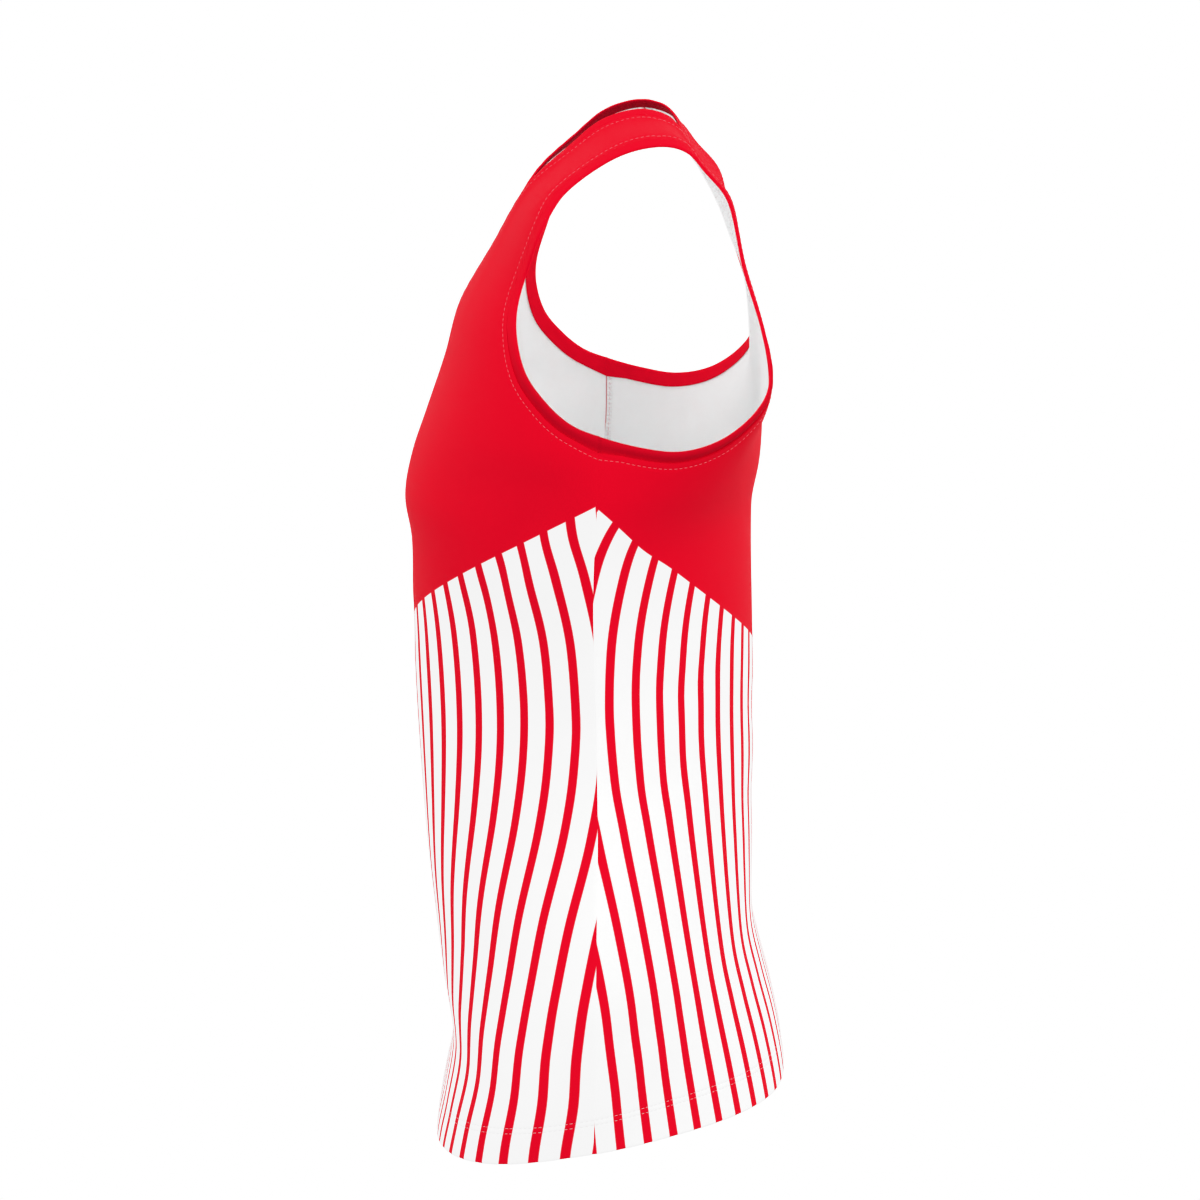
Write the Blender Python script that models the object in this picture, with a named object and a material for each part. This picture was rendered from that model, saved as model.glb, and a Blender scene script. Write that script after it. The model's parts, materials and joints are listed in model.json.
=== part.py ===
"""Track jersey: a sleeveless singlet in its worn shape, with nobody in it.

Metres, +Z up, front towards -Y, the wearer's left towards +X. The origin lies midway between
the straps at the height where they rest on the shoulders, straight under the shoulder line.

Each panel is a wall on a smooth surface that is lofted through the rows below. A point of that
surface has two coordinates: `t` counts rows upwards from the hem, and `r` is the share of the
way round from the panel's centre line (0) to its side seam (1), measured along the cloth.
"""

import bpy
import numpy as np

# Cloth
CLOTH = 0.0014  # one layer of knit
HEM_TURN = 0.022  # depth of the turned-up hem
HEM_LAYER = 0.0011  # what the turning adds inside the hem
SEAM_GAP = 0.0003  # between pieces that are sewn together
BAND_WIDTH = 0.0070
BAND_THICK = 0.0026
BAND_CORNERS = 10  # sides of a band's rounded cross-section

# Shoulder line, from the neck to the armhole
NECK_X, ARM_X = 0.078, 0.140  # where the strap starts and ends, from the middle
STRAP_FALL = 0.0184  # the arm side of the strap is this much lower
FALL_FROM = -0.150  # level under which the fall has faded out
NECK_SHIFT, ARM_SHIFT = -0.005, 0.0065  # y of the shoulder line at its two ends
SHIFT_REACH = 0.020  # how far down that slant shows

# Rows that both panels share, from the hem up to the underarm. `crown` is how square a section is
# at the panel's centre line, `flank` how square it is at the side seam, where 2 is an ellipse.
# level, half width, seam y, front y, crown, flank, back y, crown, flank
BODY_ROWS = (
    (-0.650, 0.1845, -0.0310, -0.1330, 3.00, 3.90, 0.0880, 2.90, 1.40),
    (-0.622, 0.1850, -0.0310, -0.1309, 3.00, 3.90, 0.0877, 2.90, 1.35),
    (-0.596, 0.1890, -0.0309, -0.1256, 3.00, 3.55, 0.0868, 2.78, 1.15),
    (-0.562, 0.1928, -0.0299, -0.1215, 2.75, 2.85, 0.0807, 2.65, 1.06),
    (-0.530, 0.1946, -0.0296, -0.1284, 2.30, 2.15, 0.0724, 2.52, 1.10),
    (-0.500, 0.1938, -0.0293, -0.1328, 2.15, 1.70, 0.0662, 2.31, 1.20),
    (-0.460, 0.1852, -0.0289, -0.1377, 2.17, 1.40, 0.0659, 2.09, 1.19),
    (-0.410, 0.1701, -0.0286, -0.1414, 2.29, 1.12, 0.0662, 2.08, 1.14),
    (-0.360, 0.1594, -0.0294, -0.1443, 2.33, 1.04, 0.0659, 2.11, 1.15),
    (-0.305, 0.1584, -0.0310, -0.1457, 2.45, 1.06, 0.0643, 2.26, 1.21),
    (-0.262, 0.1637, -0.0311, -0.1452, 2.70, 1.23, 0.0633, 2.44, 1.36),
    (-0.235, 0.1696, -0.0298, -0.1490, 2.66, 1.27, 0.0640, 2.48, 1.60),
    (-0.210, 0.1755, -0.0285, -0.1447, 2.52, 1.42, 0.0676, 2.70, 2.15),
    (-0.184, 0.1795, -0.0283, -0.1358, 2.40, 1.75, 0.0682, 3.20, 2.95),
)
# Rows above the underarm, where a section runs on past the armhole.
# level, half width, side y, centre y, crown, flank
FRONT_ROWS = (
    (-0.150, 0.1780, -0.0270, -0.1240, 2.30, 2.10),
    (-0.118, 0.1730, -0.0260, -0.1147, 2.30, 2.20),
    (-0.082, 0.1770, -0.0210, -0.0952, 2.30, 2.30),
    (-0.045, 0.2120, -0.0120, -0.0730, 2.50, 2.50),
    (-0.020, 0.2700, -0.0040, -0.0436, 3.00, 3.00),
    (-0.0048, 0.3000, 0.0000, -0.0212, 3.00, 3.00),
    (0.000, 0.3000, 0.0000, 0.0000, 3.00, 3.00),
)
BACK_ROWS = (
    (-0.150, 0.1780, -0.0270, 0.0660, 4.40, 4.40),
    (-0.118, 0.1730, -0.0260, 0.0631, 5.00, 5.00),
    (-0.082, 0.2000, -0.0200, 0.0556, 3.80, 3.80),
    (-0.050, 0.2500, -0.0120, 0.0472, 3.40, 3.40),
    (-0.022, 0.3000, -0.0040, 0.0278, 3.40, 3.40),
    (-0.0052, 0.3000, 0.0000, 0.0165, 3.40, 3.40),
    (0.000, 0.3000, 0.0000, 0.0000, 3.40, 3.40),
)
# Where the cloth stands out from that loft: side (-1 front, 1 back), x, z, reach in x and z, outwards
SWELLS = (
    (1, 0.148, -0.152, 0.034, 0.044, 0.0130),
    (1, 0.140, -0.042, 0.036, 0.0165, 0.0090),
    (1, 0.142, -0.080, 0.036, 0.035, 0.0028),
    (1, 0.000, -0.044, 0.085, 0.026, -0.0095),
    (1, 0.000, -0.078, 0.085, 0.022, -0.0035),
)
SWELL_CLEAR = 0.020  # a swell dies out this near to the side seam and to the shoulder line
# The hem's lower edge: front level, back level, evenly spread from the centre to the side seam
HEM_ROWS = (
    (-0.6370, -0.6020),
    (-0.6310, -0.6003),
    (-0.6192, -0.5965),
    (-0.6067, -0.5945),
    (-0.5953, -0.5953),
)
# The free edges of the openings, each row a point that the edge passes: x, y, z
NECK_EDGE = (
    (0.0000, -0.1142, -0.1180),
    (0.0210, -0.1100, -0.1100),
    (0.0400, -0.0980, -0.0900),
    (0.0560, -0.0835, -0.0650),
    (0.0680, -0.0690, -0.0450),
    (0.0740, -0.0500, -0.0240),
    (0.0775, -0.0300, -0.0085),
    (0.0780, -0.0050, 0.0000),
    (0.0775, 0.0060, -0.0025),
    (0.0700, 0.0133, -0.0075),
    (0.0550, 0.0178, -0.0120),
    (0.0300, 0.0212, -0.0155),
    (0.0000, 0.0222, -0.0168),
)
SHOULDER_AT_NECK = 7  # the row of NECK_EDGE on the shoulder line
ARM_EDGE = (
    (0.1795, -0.0285, -0.1760),
    (0.1750, -0.0440, -0.1695),
    (0.1690, -0.0580, -0.1573),
    (0.1600, -0.0700, -0.1410),
    (0.1500, -0.0765, -0.1180),
    (0.1440, -0.0745, -0.0950),
    (0.1475, -0.0590, -0.0675),
    (0.1410, -0.0470, -0.0440),
    (0.1400, -0.0240, -0.0255),
    (0.1400, 0.0065, -0.0184),
    (0.1390, 0.0260, -0.0240),
    (0.1370, 0.0405, -0.0402),
    (0.1350, 0.0502, -0.0656),
    (0.1340, 0.0572, -0.0930),
    (0.1350, 0.0648, -0.1200),
    (0.1400, 0.0700, -0.1480),
    (0.1523, 0.0640, -0.1656),
    (0.1650, 0.0465, -0.1810),
    (0.1740, 0.0200, -0.1859),
    (0.1790, -0.0050, -0.1825),
)
SHOULDER_AT_ARM = 9  # the row of ARM_EDGE on the shoulder line

# Fineness of the meshes
NECK_COLUMNS, CHEST_COLUMNS, SIDE_COLUMNS = 5, 6, 8
BODY_LINES, STRAP_LINES = 20, 14
EDGE_STEPS = 60
# Share of each opening's edge that belongs to the body below the strap: front, back
NECK_KNEE = {-1: 0.36, 1: 0.62}
ARM_KNEE = {-1: 0.42, 1: 0.44}

RED = (0.80, 0.010, 0.022, 1.0)
WHITE = (0.86, 0.87, 0.87, 1.0)


def spline(table, t, after=None):
    """Catmull-Rom through the rows of a table, with t counting rows. It is straight past both ends,
    or heads for the row `after` past the last one."""
    rows = np.asarray(table, float)
    rows = np.vstack([2 * rows[0] - rows[1], rows, 2 * rows[-1] - rows[-2] if after is None else after])
    t = np.clip(np.asarray(t, float), 0, len(rows) - 3)
    i = np.minimum(t.astype(int), len(rows) - 4)
    f = (t - i)[..., None]
    p0, p1, p2, p3 = rows[i], rows[i + 1], rows[i + 2], rows[i + 3]
    return p1 + 0.5 * f * (p2 - p0 + f * (2 * p0 - 5 * p1 + 4 * p2 - p3 + f * (3 * p1 - p0 - 3 * p2 + p3)))


def even(points, count):
    """The polyline's points, spaced evenly along its length."""
    steps = np.linalg.norm(np.diff(points[:, :3], axis=0), axis=1)
    along = np.concatenate([[0], np.cumsum(steps)])
    wanted = np.linspace(0, along[-1], count)
    return np.stack([np.interp(wanted, along, column) for column in points.T], axis=1)


def strap_share(x):
    """0 at the neck end of the shoulder line, 1 at its arm end, levelling off towards the middle."""
    share = (np.abs(x) - NECK_X) / (ARM_X - NECK_X)
    return 0.5 * (share + np.sqrt(share**2 + 0.0004))


def strap_fall(x):
    """How far the shoulder line lies under the neck point: steep at both edges of the strap."""
    share = strap_share(x)
    bend = 2 * share - 1
    return STRAP_FALL * (0.5 * share + 0.25 * (1 + np.where(bend < 1, bend**5, 5 * bend - 4)))


def panel_rows(side):
    """One panel's rows: level, half width, seam y, centre y, crown, flank. side is -1 in front, 1 behind."""
    centre = 3 if side < 0 else 6
    body = [(*row[:3], *row[centre:centre + 3]) for row in BODY_ROWS]
    return body + list(FRONT_ROWS if side < 0 else BACK_ROWS)


def section(side, t):
    """The loft's row at t. Over the shoulder it runs on into the other panel, so the strap is round."""
    return spline(panel_rows(side), t, (BACK_ROWS if side < 0 else FRONT_ROWS)[-2])


def quarter(half, depth, crown, flank):
    """One quarter of each section, from the centre line to the seam: x, y and the length along it."""
    run = np.sin(np.pi / 2 * np.sin(np.linspace(0, np.pi / 2, 97)))
    x = half[..., None] * run
    y = depth[..., None] * np.maximum(1 - run ** crown[..., None], 0) ** (1 / flank[..., None])
    steps = np.hypot(np.diff(x), np.diff(y))
    return x, y, np.concatenate([np.zeros_like(steps[..., :1]), np.cumsum(steps, axis=-1)], axis=-1)


def surface(side, t, r):
    """Points of a panel's outer face on the wearer's left."""
    level, half, seam, centre, crown, flank = np.moveaxis(section(side, t), -1, 0)
    curves = [a.reshape(-1, a.shape[-1]) for a in quarter(half, centre - seam, crown, flank)]
    wanted = np.ravel(np.broadcast_to(r, np.shape(level))) * curves[2][:, -1]
    x, y = (
        np.array([np.interp(w, along, one) for w, along, one in zip(wanted, curves[2], curve)])
        for curve in curves[:2]
    )
    x, y = x.reshape(np.shape(level)), y.reshape(np.shape(level))
    fade = np.clip((level - FALL_FROM) / -FALL_FROM, 0, 1)
    z = level - strap_fall(x) * fade**2 * (3 - 2 * fade)
    inside = 1 - np.exp(-((y / SWELL_CLEAR) ** 2))
    slant = NECK_SHIFT + (ARM_SHIFT - NECK_SHIFT) * strap_share(x)
    y = y + seam + slant * np.exp(-((level / SHIFT_REACH) ** 2))
    for where, at_x, at_z, reach_x, reach_z, out in SWELLS:
        if where == side:
            near = ((x - at_x) / reach_x) ** 2 + ((z - at_z) / reach_z) ** 2
            y = y + side * out * inside * np.exp(-near)
    return np.stack([x, y, z], axis=-1)


def slopes(side, t, r):
    """How the surface moves with t and with r."""
    dt, dr = 0.02, 0.004
    low_t, high_t = np.clip(t - dt, 0, None), np.clip(t + dt, None, len(panel_rows(side)) - 1)
    low_r, high_r = np.clip(r - dr, 0, 1), np.clip(r + dr, 0, 1)
    by_t = (surface(side, high_t, r) - surface(side, low_t, r)) / (high_t - low_t)[..., None]
    by_r = (surface(side, t, high_r) - surface(side, t, low_r)) / (high_r - low_r)[..., None]
    return by_t, by_r


def normals(side, t, r):
    """Unit vectors out of the cloth."""
    by_t, by_r = slopes(side, t, r)
    out = np.cross(by_r, by_t) * -side
    return out / np.linalg.norm(out, axis=-1, keepdims=True)


def step_on_surface(side, t, r, move):
    """The (t, r) reached by a small move in space, kept on the panel."""
    by_t, by_r = slopes(side, t, r)
    tt, rr, tr = (np.sum(a * b, axis=-1) for a, b in ((by_t, by_t), (by_r, by_r), (by_t, by_r)))
    mt, mr = np.sum(by_t * move, axis=-1), np.sum(by_r * move, axis=-1)
    lift = 1e-6 * (tt + rr)
    scale = (tt + lift) * (rr + lift) - tr**2
    t = t + ((rr + lift) * mt - tr * mr) / scale
    r = r + ((tt + lift) * mr - tr * mt) / scale
    return np.clip(t, 0, len(panel_rows(side)) - 1), np.clip(r, 0, 1)


def lay_on(side, points, t, r):
    """The (t, r) of the surface's points nearest to these, from a first guess."""
    for _ in range(12):
        gap = points - surface(side, t, r)
        reach = np.linalg.norm(gap, axis=-1, keepdims=True)
        t, r = step_on_surface(side, t, r, gap * np.minimum(1, 0.02 / np.maximum(reach, 1e-9)))
    return t, r


def level_to_t(side, level):
    """The row count at which the loft reaches a level."""
    counts = np.linspace(0, len(panel_rows(side)) - 1, 400)
    return np.interp(level, section(side, counts)[:, 0], counts)


def edge(side, table, first, last, at_first, at_last):
    """An opening's free edge on one panel, as evenly spaced (t, r). at_first and at_last name the line
    that each end is on: 'centre', 'seam' or 'shoulder'."""
    rows = np.asarray([table[i % len(table)] for i in range(first - 1, last + 2)])
    if at_first == "centre":
        rows[0] = rows[2] * (-1, 1, 1)
    if at_last == "centre":
        rows[-1] = rows[-3] * (-1, 1, 1)
    points = even(spline(rows, np.linspace(1, len(rows) - 2, 240)), EDGE_STEPS + 1)
    level = points[:, 2] + strap_fall(points[:, 0]) * np.clip(1 + points[:, 2] / 0.15, 0, 1)
    t, r = lay_on(side, points, level_to_t(side, level), np.clip(points[:, 0] / 0.2, 0.02, 0.98))
    top = panel_rows(side)[-1]
    for end, where in ((0, at_first), (-1, at_last)):
        if where == "centre":
            r[end] = 0
        elif where == "seam":
            t[end], r[end] = level_to_t(side, points[end, 2]), 1
        else:
            t[end], r[end] = len(panel_rows(side)) - 1, points[end, 0] / top[1]
    return t, r


def sewn_line(side, t, r, into):
    """The line a band's width inside a free edge, where the panel stops. into is 1 when the cloth lies
    to the left of the edge as seen from outside, else -1."""
    top = len(panel_rows(side)) - 1
    for _ in range(4):
        run = np.gradient(surface(side, t, r), axis=0)
        by_t, by_r = slopes(side, t, r)
        for i in (0, -1):  # an end slides along the line it is on
            along = by_r[i] if t[i] == top else by_t[i]
            run[i] -= along * np.dot(run[i], along) / np.dot(along, along)
        run /= np.linalg.norm(run, axis=1, keepdims=True)
        inward = np.cross(normals(side, t, r), run) * into
        new_t, new_r = step_on_surface(side, t, r, inward * (BAND_WIDTH + SEAM_GAP) / 4)
        for i in (0, -1):
            if t[i] == top:
                new_t[i] = top
            else:
                new_r[i] = r[i]
        t, r = new_t, new_r
    return t, r


def neck_line(side):
    """(t, r) of the neck's free edge and sewn line on one panel, from its centre to the shoulder."""
    if side < 0:
        t, r = edge(side, NECK_EDGE, 0, SHOULDER_AT_NECK, "centre", "shoulder")
    else:
        t, r = edge(side, NECK_EDGE, SHOULDER_AT_NECK, len(NECK_EDGE) - 1, "shoulder", "centre")
        t, r = t[::-1].copy(), r[::-1].copy()
    return (t, r), sewn_line(side, t, r, side)


def arm_line(side):
    """(t, r) of the armhole's free edge and sewn line on one panel, from the side seam to the shoulder."""
    if side < 0:
        t, r = edge(side, ARM_EDGE, 0, SHOULDER_AT_ARM, "seam", "shoulder")
    else:
        t, r = edge(side, ARM_EDGE, SHOULDER_AT_ARM, len(ARM_EDGE), "shoulder", "seam")
        t, r = t[::-1].copy(), r[::-1].copy()
    return (t, r), sewn_line(side, t, r, -side)


def pick(line, shares):
    """(t, r) at shares of a line's length."""
    t, r = line
    count = np.linspace(0, 1, len(t))
    return np.interp(shares, count, t), np.interp(shares, count, r)


def shares_of(knee, columns):
    """Where the panel's vertices lie along an opening's edge: body columns, then strap lines."""
    below, above = np.linspace(0, knee, columns + 1), np.linspace(knee, 1, STRAP_LINES + 1)
    return np.concatenate([below, above[1:]])


def half_grid(side, neck, arm):
    """The panel's left half in two blocks: (t, r) of the body, hem upwards, and of the strap above it."""
    neck = pick(neck, shares_of(NECK_KNEE[side], NECK_COLUMNS))
    arm = pick(arm, shares_of(ARM_KNEE[side], SIDE_COLUMNS))
    part = np.linspace(0, 1, CHEST_COLUMNS + 1)
    strap = tuple(a[NECK_COLUMNS:, None] * (1 - part) + b[SIDE_COLUMNS:, None] * part for a, b in zip(neck, arm))
    top_t, top_r = (
        np.concatenate([a[:NECK_COLUMNS], s[0], b[:SIDE_COLUMNS][::-1]]) for a, s, b in zip(neck, strap, arm)
    )
    hem_level = spline(HEM_ROWS, top_r * (len(HEM_ROWS) - 1))[:, 0 if side < 0 else 1]
    hem_t, turn_t, clear_t = (level_to_t(side, hem_level + up) for up in (0, HEM_TURN, HEM_TURN + 0.002))
    rise = np.linspace(0, 1, BODY_LINES)[:, None]
    lines = np.vstack([hem_t, (hem_t + turn_t) / 2, turn_t, clear_t + rise * (top_t - clear_t)])
    return (lines, np.tile(top_r, (len(lines), 1))), strap


def wall(name, points, outward, depth, quads, colour):
    """A closed wall: the outer face, the inner face `depth` behind it, and a rim along the free edges."""
    count = len(points)
    inside = points - outward * depth[:, None]
    quads = np.asarray(quads)
    sides = np.stack([quads, np.roll(quads, -1, axis=1)], axis=-1).reshape(-1, 2)
    known = {tuple(pair) for pair in sides}
    rim = [(b, a, a + count, b + count) for a, b in known if (b, a) not in known]
    faces = [*quads.tolist(), *(quads[:, ::-1] + count).tolist(), *rim]
    return smooth_object(name, np.vstack([points, inside]), faces, colour)


def smooth_object(name, points, faces, colour):
    """A mesh object with one plain material."""
    mesh = bpy.data.meshes.new(name)
    mesh.from_pydata([tuple(p) for p in points], [], [tuple(int(i) for i in f) for f in faces])
    mesh.validate()
    mesh.shade_smooth()
    material = bpy.data.materials.new(name)
    material.use_nodes = True
    shader = material.node_tree.nodes["Principled BSDF"]
    shader.inputs["Base Color"].default_value = colour
    shader.inputs["Roughness"].default_value = 0.7
    mesh.materials.append(material)
    obj = bpy.data.objects.new(name, mesh)
    bpy.context.scene.collection.objects.link(obj)
    return obj


def panel(name, side, colour):
    """One panel, hem to shoulders, with its turned-up hem as a thicker stretch of wall."""
    body, strap = half_grid(side, neck_line(side)[1], arm_line(side)[1])
    lines, columns = body[0].shape
    index, places, normal, depth = {}, [], [], []

    def add(block, i, j, t, r, thick, shift):
        for hand in (1, -1):
            key = (block, i, j, hand)
            if block == "body" and j == 0 and hand < 0:
                index[key] = index[block, i, j, 1]
                continue
            outwards = normals(side, t, r) * (hand, 0 if shift else 1, 1)  # square to y along a seam
            index[key] = len(places)
            places.append((surface(side, t, r) + (0, shift, 0)) * (hand, 1, 1))
            normal.append(outwards / np.linalg.norm(outwards))
            depth.append(thick)

    for i in range(lines):
        for j in range(columns):
            shift = side * SEAM_GAP / 2 if j == columns - 1 else 0
            thick = CLOTH + (HEM_LAYER if i < 3 else 0)
            add("body", i, j, body[0][i, j], body[1][i, j], thick, shift)
    for i in range(1, STRAP_LINES + 1):
        for j in range(CHEST_COLUMNS + 1):
            shift = side * SEAM_GAP / 2 if i == STRAP_LINES else 0
            add("strap", i, j, strap[0][i, j], strap[1][i, j], CLOTH, shift)
    for j in range(CHEST_COLUMNS + 1):
        for hand in (1, -1):
            index["strap", 0, j, hand] = index["body", lines - 1, NECK_COLUMNS + j, hand]

    quads = []
    for block, rows, cols in (("body", lines - 1, columns - 1), ("strap", STRAP_LINES, CHEST_COLUMNS)):
        for i in range(rows):
            for j in range(cols):
                for hand in (1, -1):
                    quad = [index[block, i + a, j + b, hand] for a, b in ((0, 0), (0, 1), (1, 1), (1, 0))]
                    quads.append(quad if hand * side < 0 else quad[::-1])
    return wall(name, np.array(places), np.array(normal), np.array(depth), quads, colour)


def opening(line_of, knees, columns):
    """Each panel's stretch of an opening on the wearer's left: free edge, sewn line and outward vectors,
    at the panel's own vertices and ending on the shoulder line."""
    parts = []
    for side in (-1, 1):
        free, sewn = (pick(line, shares_of(knees[side], columns)) for line in line_of(side))
        parts.append(np.hstack([surface(side, *free), surface(side, *sewn), normals(side, *free)]))
    middle = (parts[0][-1] + parts[1][-1]) / 2
    return np.vstack([parts[0][:-1], middle, parts[1][:-1][::-1]])


def band(ring):
    """A folded strip whose section is a rounded bar from the free edge to the sewn line."""
    count = len(ring)
    free, sewn, out = ring[:, :3], ring[:, 3:6], ring[:, 6:]
    width = np.linalg.norm(sewn - free, axis=1, keepdims=True)
    across = (sewn - free) / width
    out = out - across * np.sum(out * across, axis=1, keepdims=True)
    out /= np.linalg.norm(out, axis=1, keepdims=True)
    turn = 2 * np.pi * (np.arange(BAND_CORNERS) + 0.5) / BAND_CORNERS
    round_off = (np.abs(np.cos(turn)) ** 4 + np.abs(np.sin(turn)) ** 4) ** -0.25
    reach = (width - SEAM_GAP) / 2
    points = np.concatenate([
        free + across * reach * (1 + c) + out * (BAND_THICK / 2 * s - CLOTH / 2)
        for c, s in zip(np.cos(turn) * round_off, np.sin(turn) * round_off)
    ])
    faces = []
    for k in range(BAND_CORNERS):
        here, there = k * count, (k + 1) % BAND_CORNERS * count
        for i in range(count):
            after = (i + 1) % count
            faces.append((here + i, here + after, there + after, there + i))
    return points, faces


def neck_band():
    """The ring round the neck: both panels' edges and their mirror images."""
    left = opening(neck_line, NECK_KNEE, NECK_COLUMNS)
    right = left[::-1][1:-1] * np.tile((-1, 1, 1), 3)
    points, faces = band(np.vstack([left, right]))
    smooth_object("neck_band", points, faces, RED)


def armhole_band(name, hand):
    """The ring round one armhole. hand is 1 on the wearer's left, -1 on the right."""
    ring = opening(arm_line, ARM_KNEE, SIDE_COLUMNS)
    ring[0] = (ring[0] + ring[-1]) / 2
    points, faces = band(ring[:-1] * np.tile((hand, 1, 1), 3))
    smooth_object(name, points, faces, RED)


def face_outwards():
    """Turns the faces of every closed mesh outwards."""
    for obj in bpy.context.scene.objects:
        mesh = obj.data
        places = np.empty(len(mesh.vertices) * 3, np.float32)
        mesh.vertices.foreach_get("co", places)
        places = places.reshape(-1, 3).astype(float)
        mesh.calc_loop_triangles()
        corners = np.array([places[list(tri.vertices)] for tri in mesh.loop_triangles])
        if np.linalg.det(corners).sum() < 0:
            mesh.flip_normals()


def main():
    for obj in list(bpy.data.objects):
        bpy.data.objects.remove(obj, do_unlink=True)
    panel("front_panel", -1, WHITE)
    panel("back_panel", 1, WHITE)
    neck_band()
    armhole_band("armhole_band_left", 1)
    armhole_band("armhole_band_right", -1)
    face_outwards()


if __name__ == "__main__":
    main()
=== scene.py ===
"""Track jersey: a sleeveless striped singlet in its worn shape, dressed around its CAD frame.

Metres, +Z up, front towards -Y, the wearer's left towards +X. A place on the cloth has two
coordinates: `t` counts the loft's rows upwards from the hem, and `r` is the share of the way
round from a panel's centre line (0) to its side seam (1), measured along the cloth.
"""

from __future__ import annotations

import json
import logging
import math
from dataclasses import dataclass
from enum import Enum
from functools import lru_cache

import bmesh
import bpy
import numpy as np
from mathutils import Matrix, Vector

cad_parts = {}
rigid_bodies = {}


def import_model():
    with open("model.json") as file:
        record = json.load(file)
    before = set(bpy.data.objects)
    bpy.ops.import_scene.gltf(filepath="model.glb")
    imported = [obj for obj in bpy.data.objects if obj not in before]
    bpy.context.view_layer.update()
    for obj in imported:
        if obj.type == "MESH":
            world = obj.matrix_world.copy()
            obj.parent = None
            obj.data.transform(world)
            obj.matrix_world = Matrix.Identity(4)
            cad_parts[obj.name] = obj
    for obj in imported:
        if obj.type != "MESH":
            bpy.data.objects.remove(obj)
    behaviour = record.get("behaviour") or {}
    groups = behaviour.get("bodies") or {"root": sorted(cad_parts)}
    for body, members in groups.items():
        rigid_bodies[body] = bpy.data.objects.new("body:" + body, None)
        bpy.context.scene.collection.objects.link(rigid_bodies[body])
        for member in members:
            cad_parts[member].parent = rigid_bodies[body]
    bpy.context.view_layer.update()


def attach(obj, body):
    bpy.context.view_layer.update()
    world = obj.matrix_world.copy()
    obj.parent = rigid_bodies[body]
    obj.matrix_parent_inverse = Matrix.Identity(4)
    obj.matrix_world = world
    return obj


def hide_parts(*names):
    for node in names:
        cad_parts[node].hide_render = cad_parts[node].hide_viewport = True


LOG = logging.getLogger("track_jersey")
MM = 0.001
WELD_GAP = 2e-7  # vertices nearer than this are one
SHARP_ANGLE = math.radians(55)  # edges that turn more than this are drawn sharp
Colour = tuple[float, float, float]
Array = np.ndarray
Line = tuple[np.ndarray, np.ndarray]  # t and r along a line on a panel, or points and outward vectors


class Side(Enum):
    """The two panels, numbered by the way that each faces along Y."""

    FRONT = -1
    BACK = 1


class Hand(Enum):
    """The two halves of the jersey, numbered by their side of the X = 0 plane."""

    LEFT = 1
    RIGHT = -1


class Edge(Enum):
    """The two kinds of opening with a free edge, with the name of the line that each starts on."""

    NECK = "centre"
    ARMHOLE = "seam"


TOPSTITCH = {Edge.NECK: 0.0103, Edge.ARMHOLE: 0.0105}  # how far the topstitching is from the free edge


# ---------------------------------------------------------------- plain geometry


def spline(table: object, t: Array, after: tuple | None = None) -> Array:
    """Passes a Catmull-Rom curve through the rows of a table.

    Args:
        table: Rows of numbers.
        t: Where to read the curve, counting rows.
        after: A row that the curve heads for past the last one, where it isn't to end straight.

    Returns:
        One row of numbers for each t.
    """
    rows = np.asarray(table, float)
    last = 2 * rows[-1] - rows[-2] if after is None else after
    rows = np.vstack([2 * rows[0] - rows[1], rows, last])
    t = np.clip(np.asarray(t, float), 0, len(rows) - 3)
    i = np.minimum(t.astype(int), len(rows) - 4)
    f = (t - i)[..., None]
    p0, p1, p2, p3 = rows[i], rows[i + 1], rows[i + 2], rows[i + 3]
    return p1 + 0.5 * f * (p2 - p0 + f * (2 * p0 - 5 * p1 + 4 * p2 - p3 + f * (3 * p1 - p0 - 3 * p2 + p3)))


def lengths_along(points: Array) -> Array:
    """How far along a polyline each of its points lies."""
    return np.concatenate([[0], np.cumsum(np.linalg.norm(np.diff(points[:, :3], axis=0), axis=1))])


def even(points: Array, count: int) -> Array:
    """Spaces a polyline's points evenly along its length.

    Args:
        points: The polyline, with its place in the first three columns.
        count: How many points are wanted.

    Returns:
        The new points, with all the columns.
    """
    along = lengths_along(points)
    wanted = np.linspace(0, along[-1], count)
    return np.stack([np.interp(wanted, along, column) for column in points.T], axis=1)


def unit(vectors: Array) -> Array:
    """The vectors, each of length 1."""
    return vectors / np.maximum(np.linalg.norm(vectors, axis=-1, keepdims=True), 1e-12)


def smooth(x: Array, low: float, high: float) -> Array:
    """0 below low, 1 above high, and an S curve between."""
    f = np.clip((x - low) / (high - low), 0, 1)
    return f * f * (3 - 2 * f)


def gap_to_line(points: Array, line: Array) -> Array:
    """Distances from points to the nearest place on a polyline.

    Args:
        points: An array of points.
        line: The polyline's points.

    Returns:
        One distance for each point.
    """
    best = np.full(len(points), np.inf)
    for a, b in zip(line[:-1], line[1:]):
        run = b - a
        share = np.clip((points - a) @ run / max(run @ run, 1e-12), 0, 1)
        best = np.minimum(best, np.sum((points - a - share[:, None] * run) ** 2, axis=1))
    return np.sqrt(best)


def grid_quads(index: Array, flip: bool) -> Array:
    """Makes the quads between the neighbours in a grid of vertex numbers.

    Args:
        index: The grid of vertex numbers.
        flip: Whether the quads are turned over.

    Returns:
        One quad a row.
    """
    corners = [index[:-1, :-1], index[:-1, 1:], index[1:, 1:], index[1:, :-1]]
    quads = np.stack(corners, axis=-1).reshape(-1, 4)
    return quads[:, ::-1] if flip else quads


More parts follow.
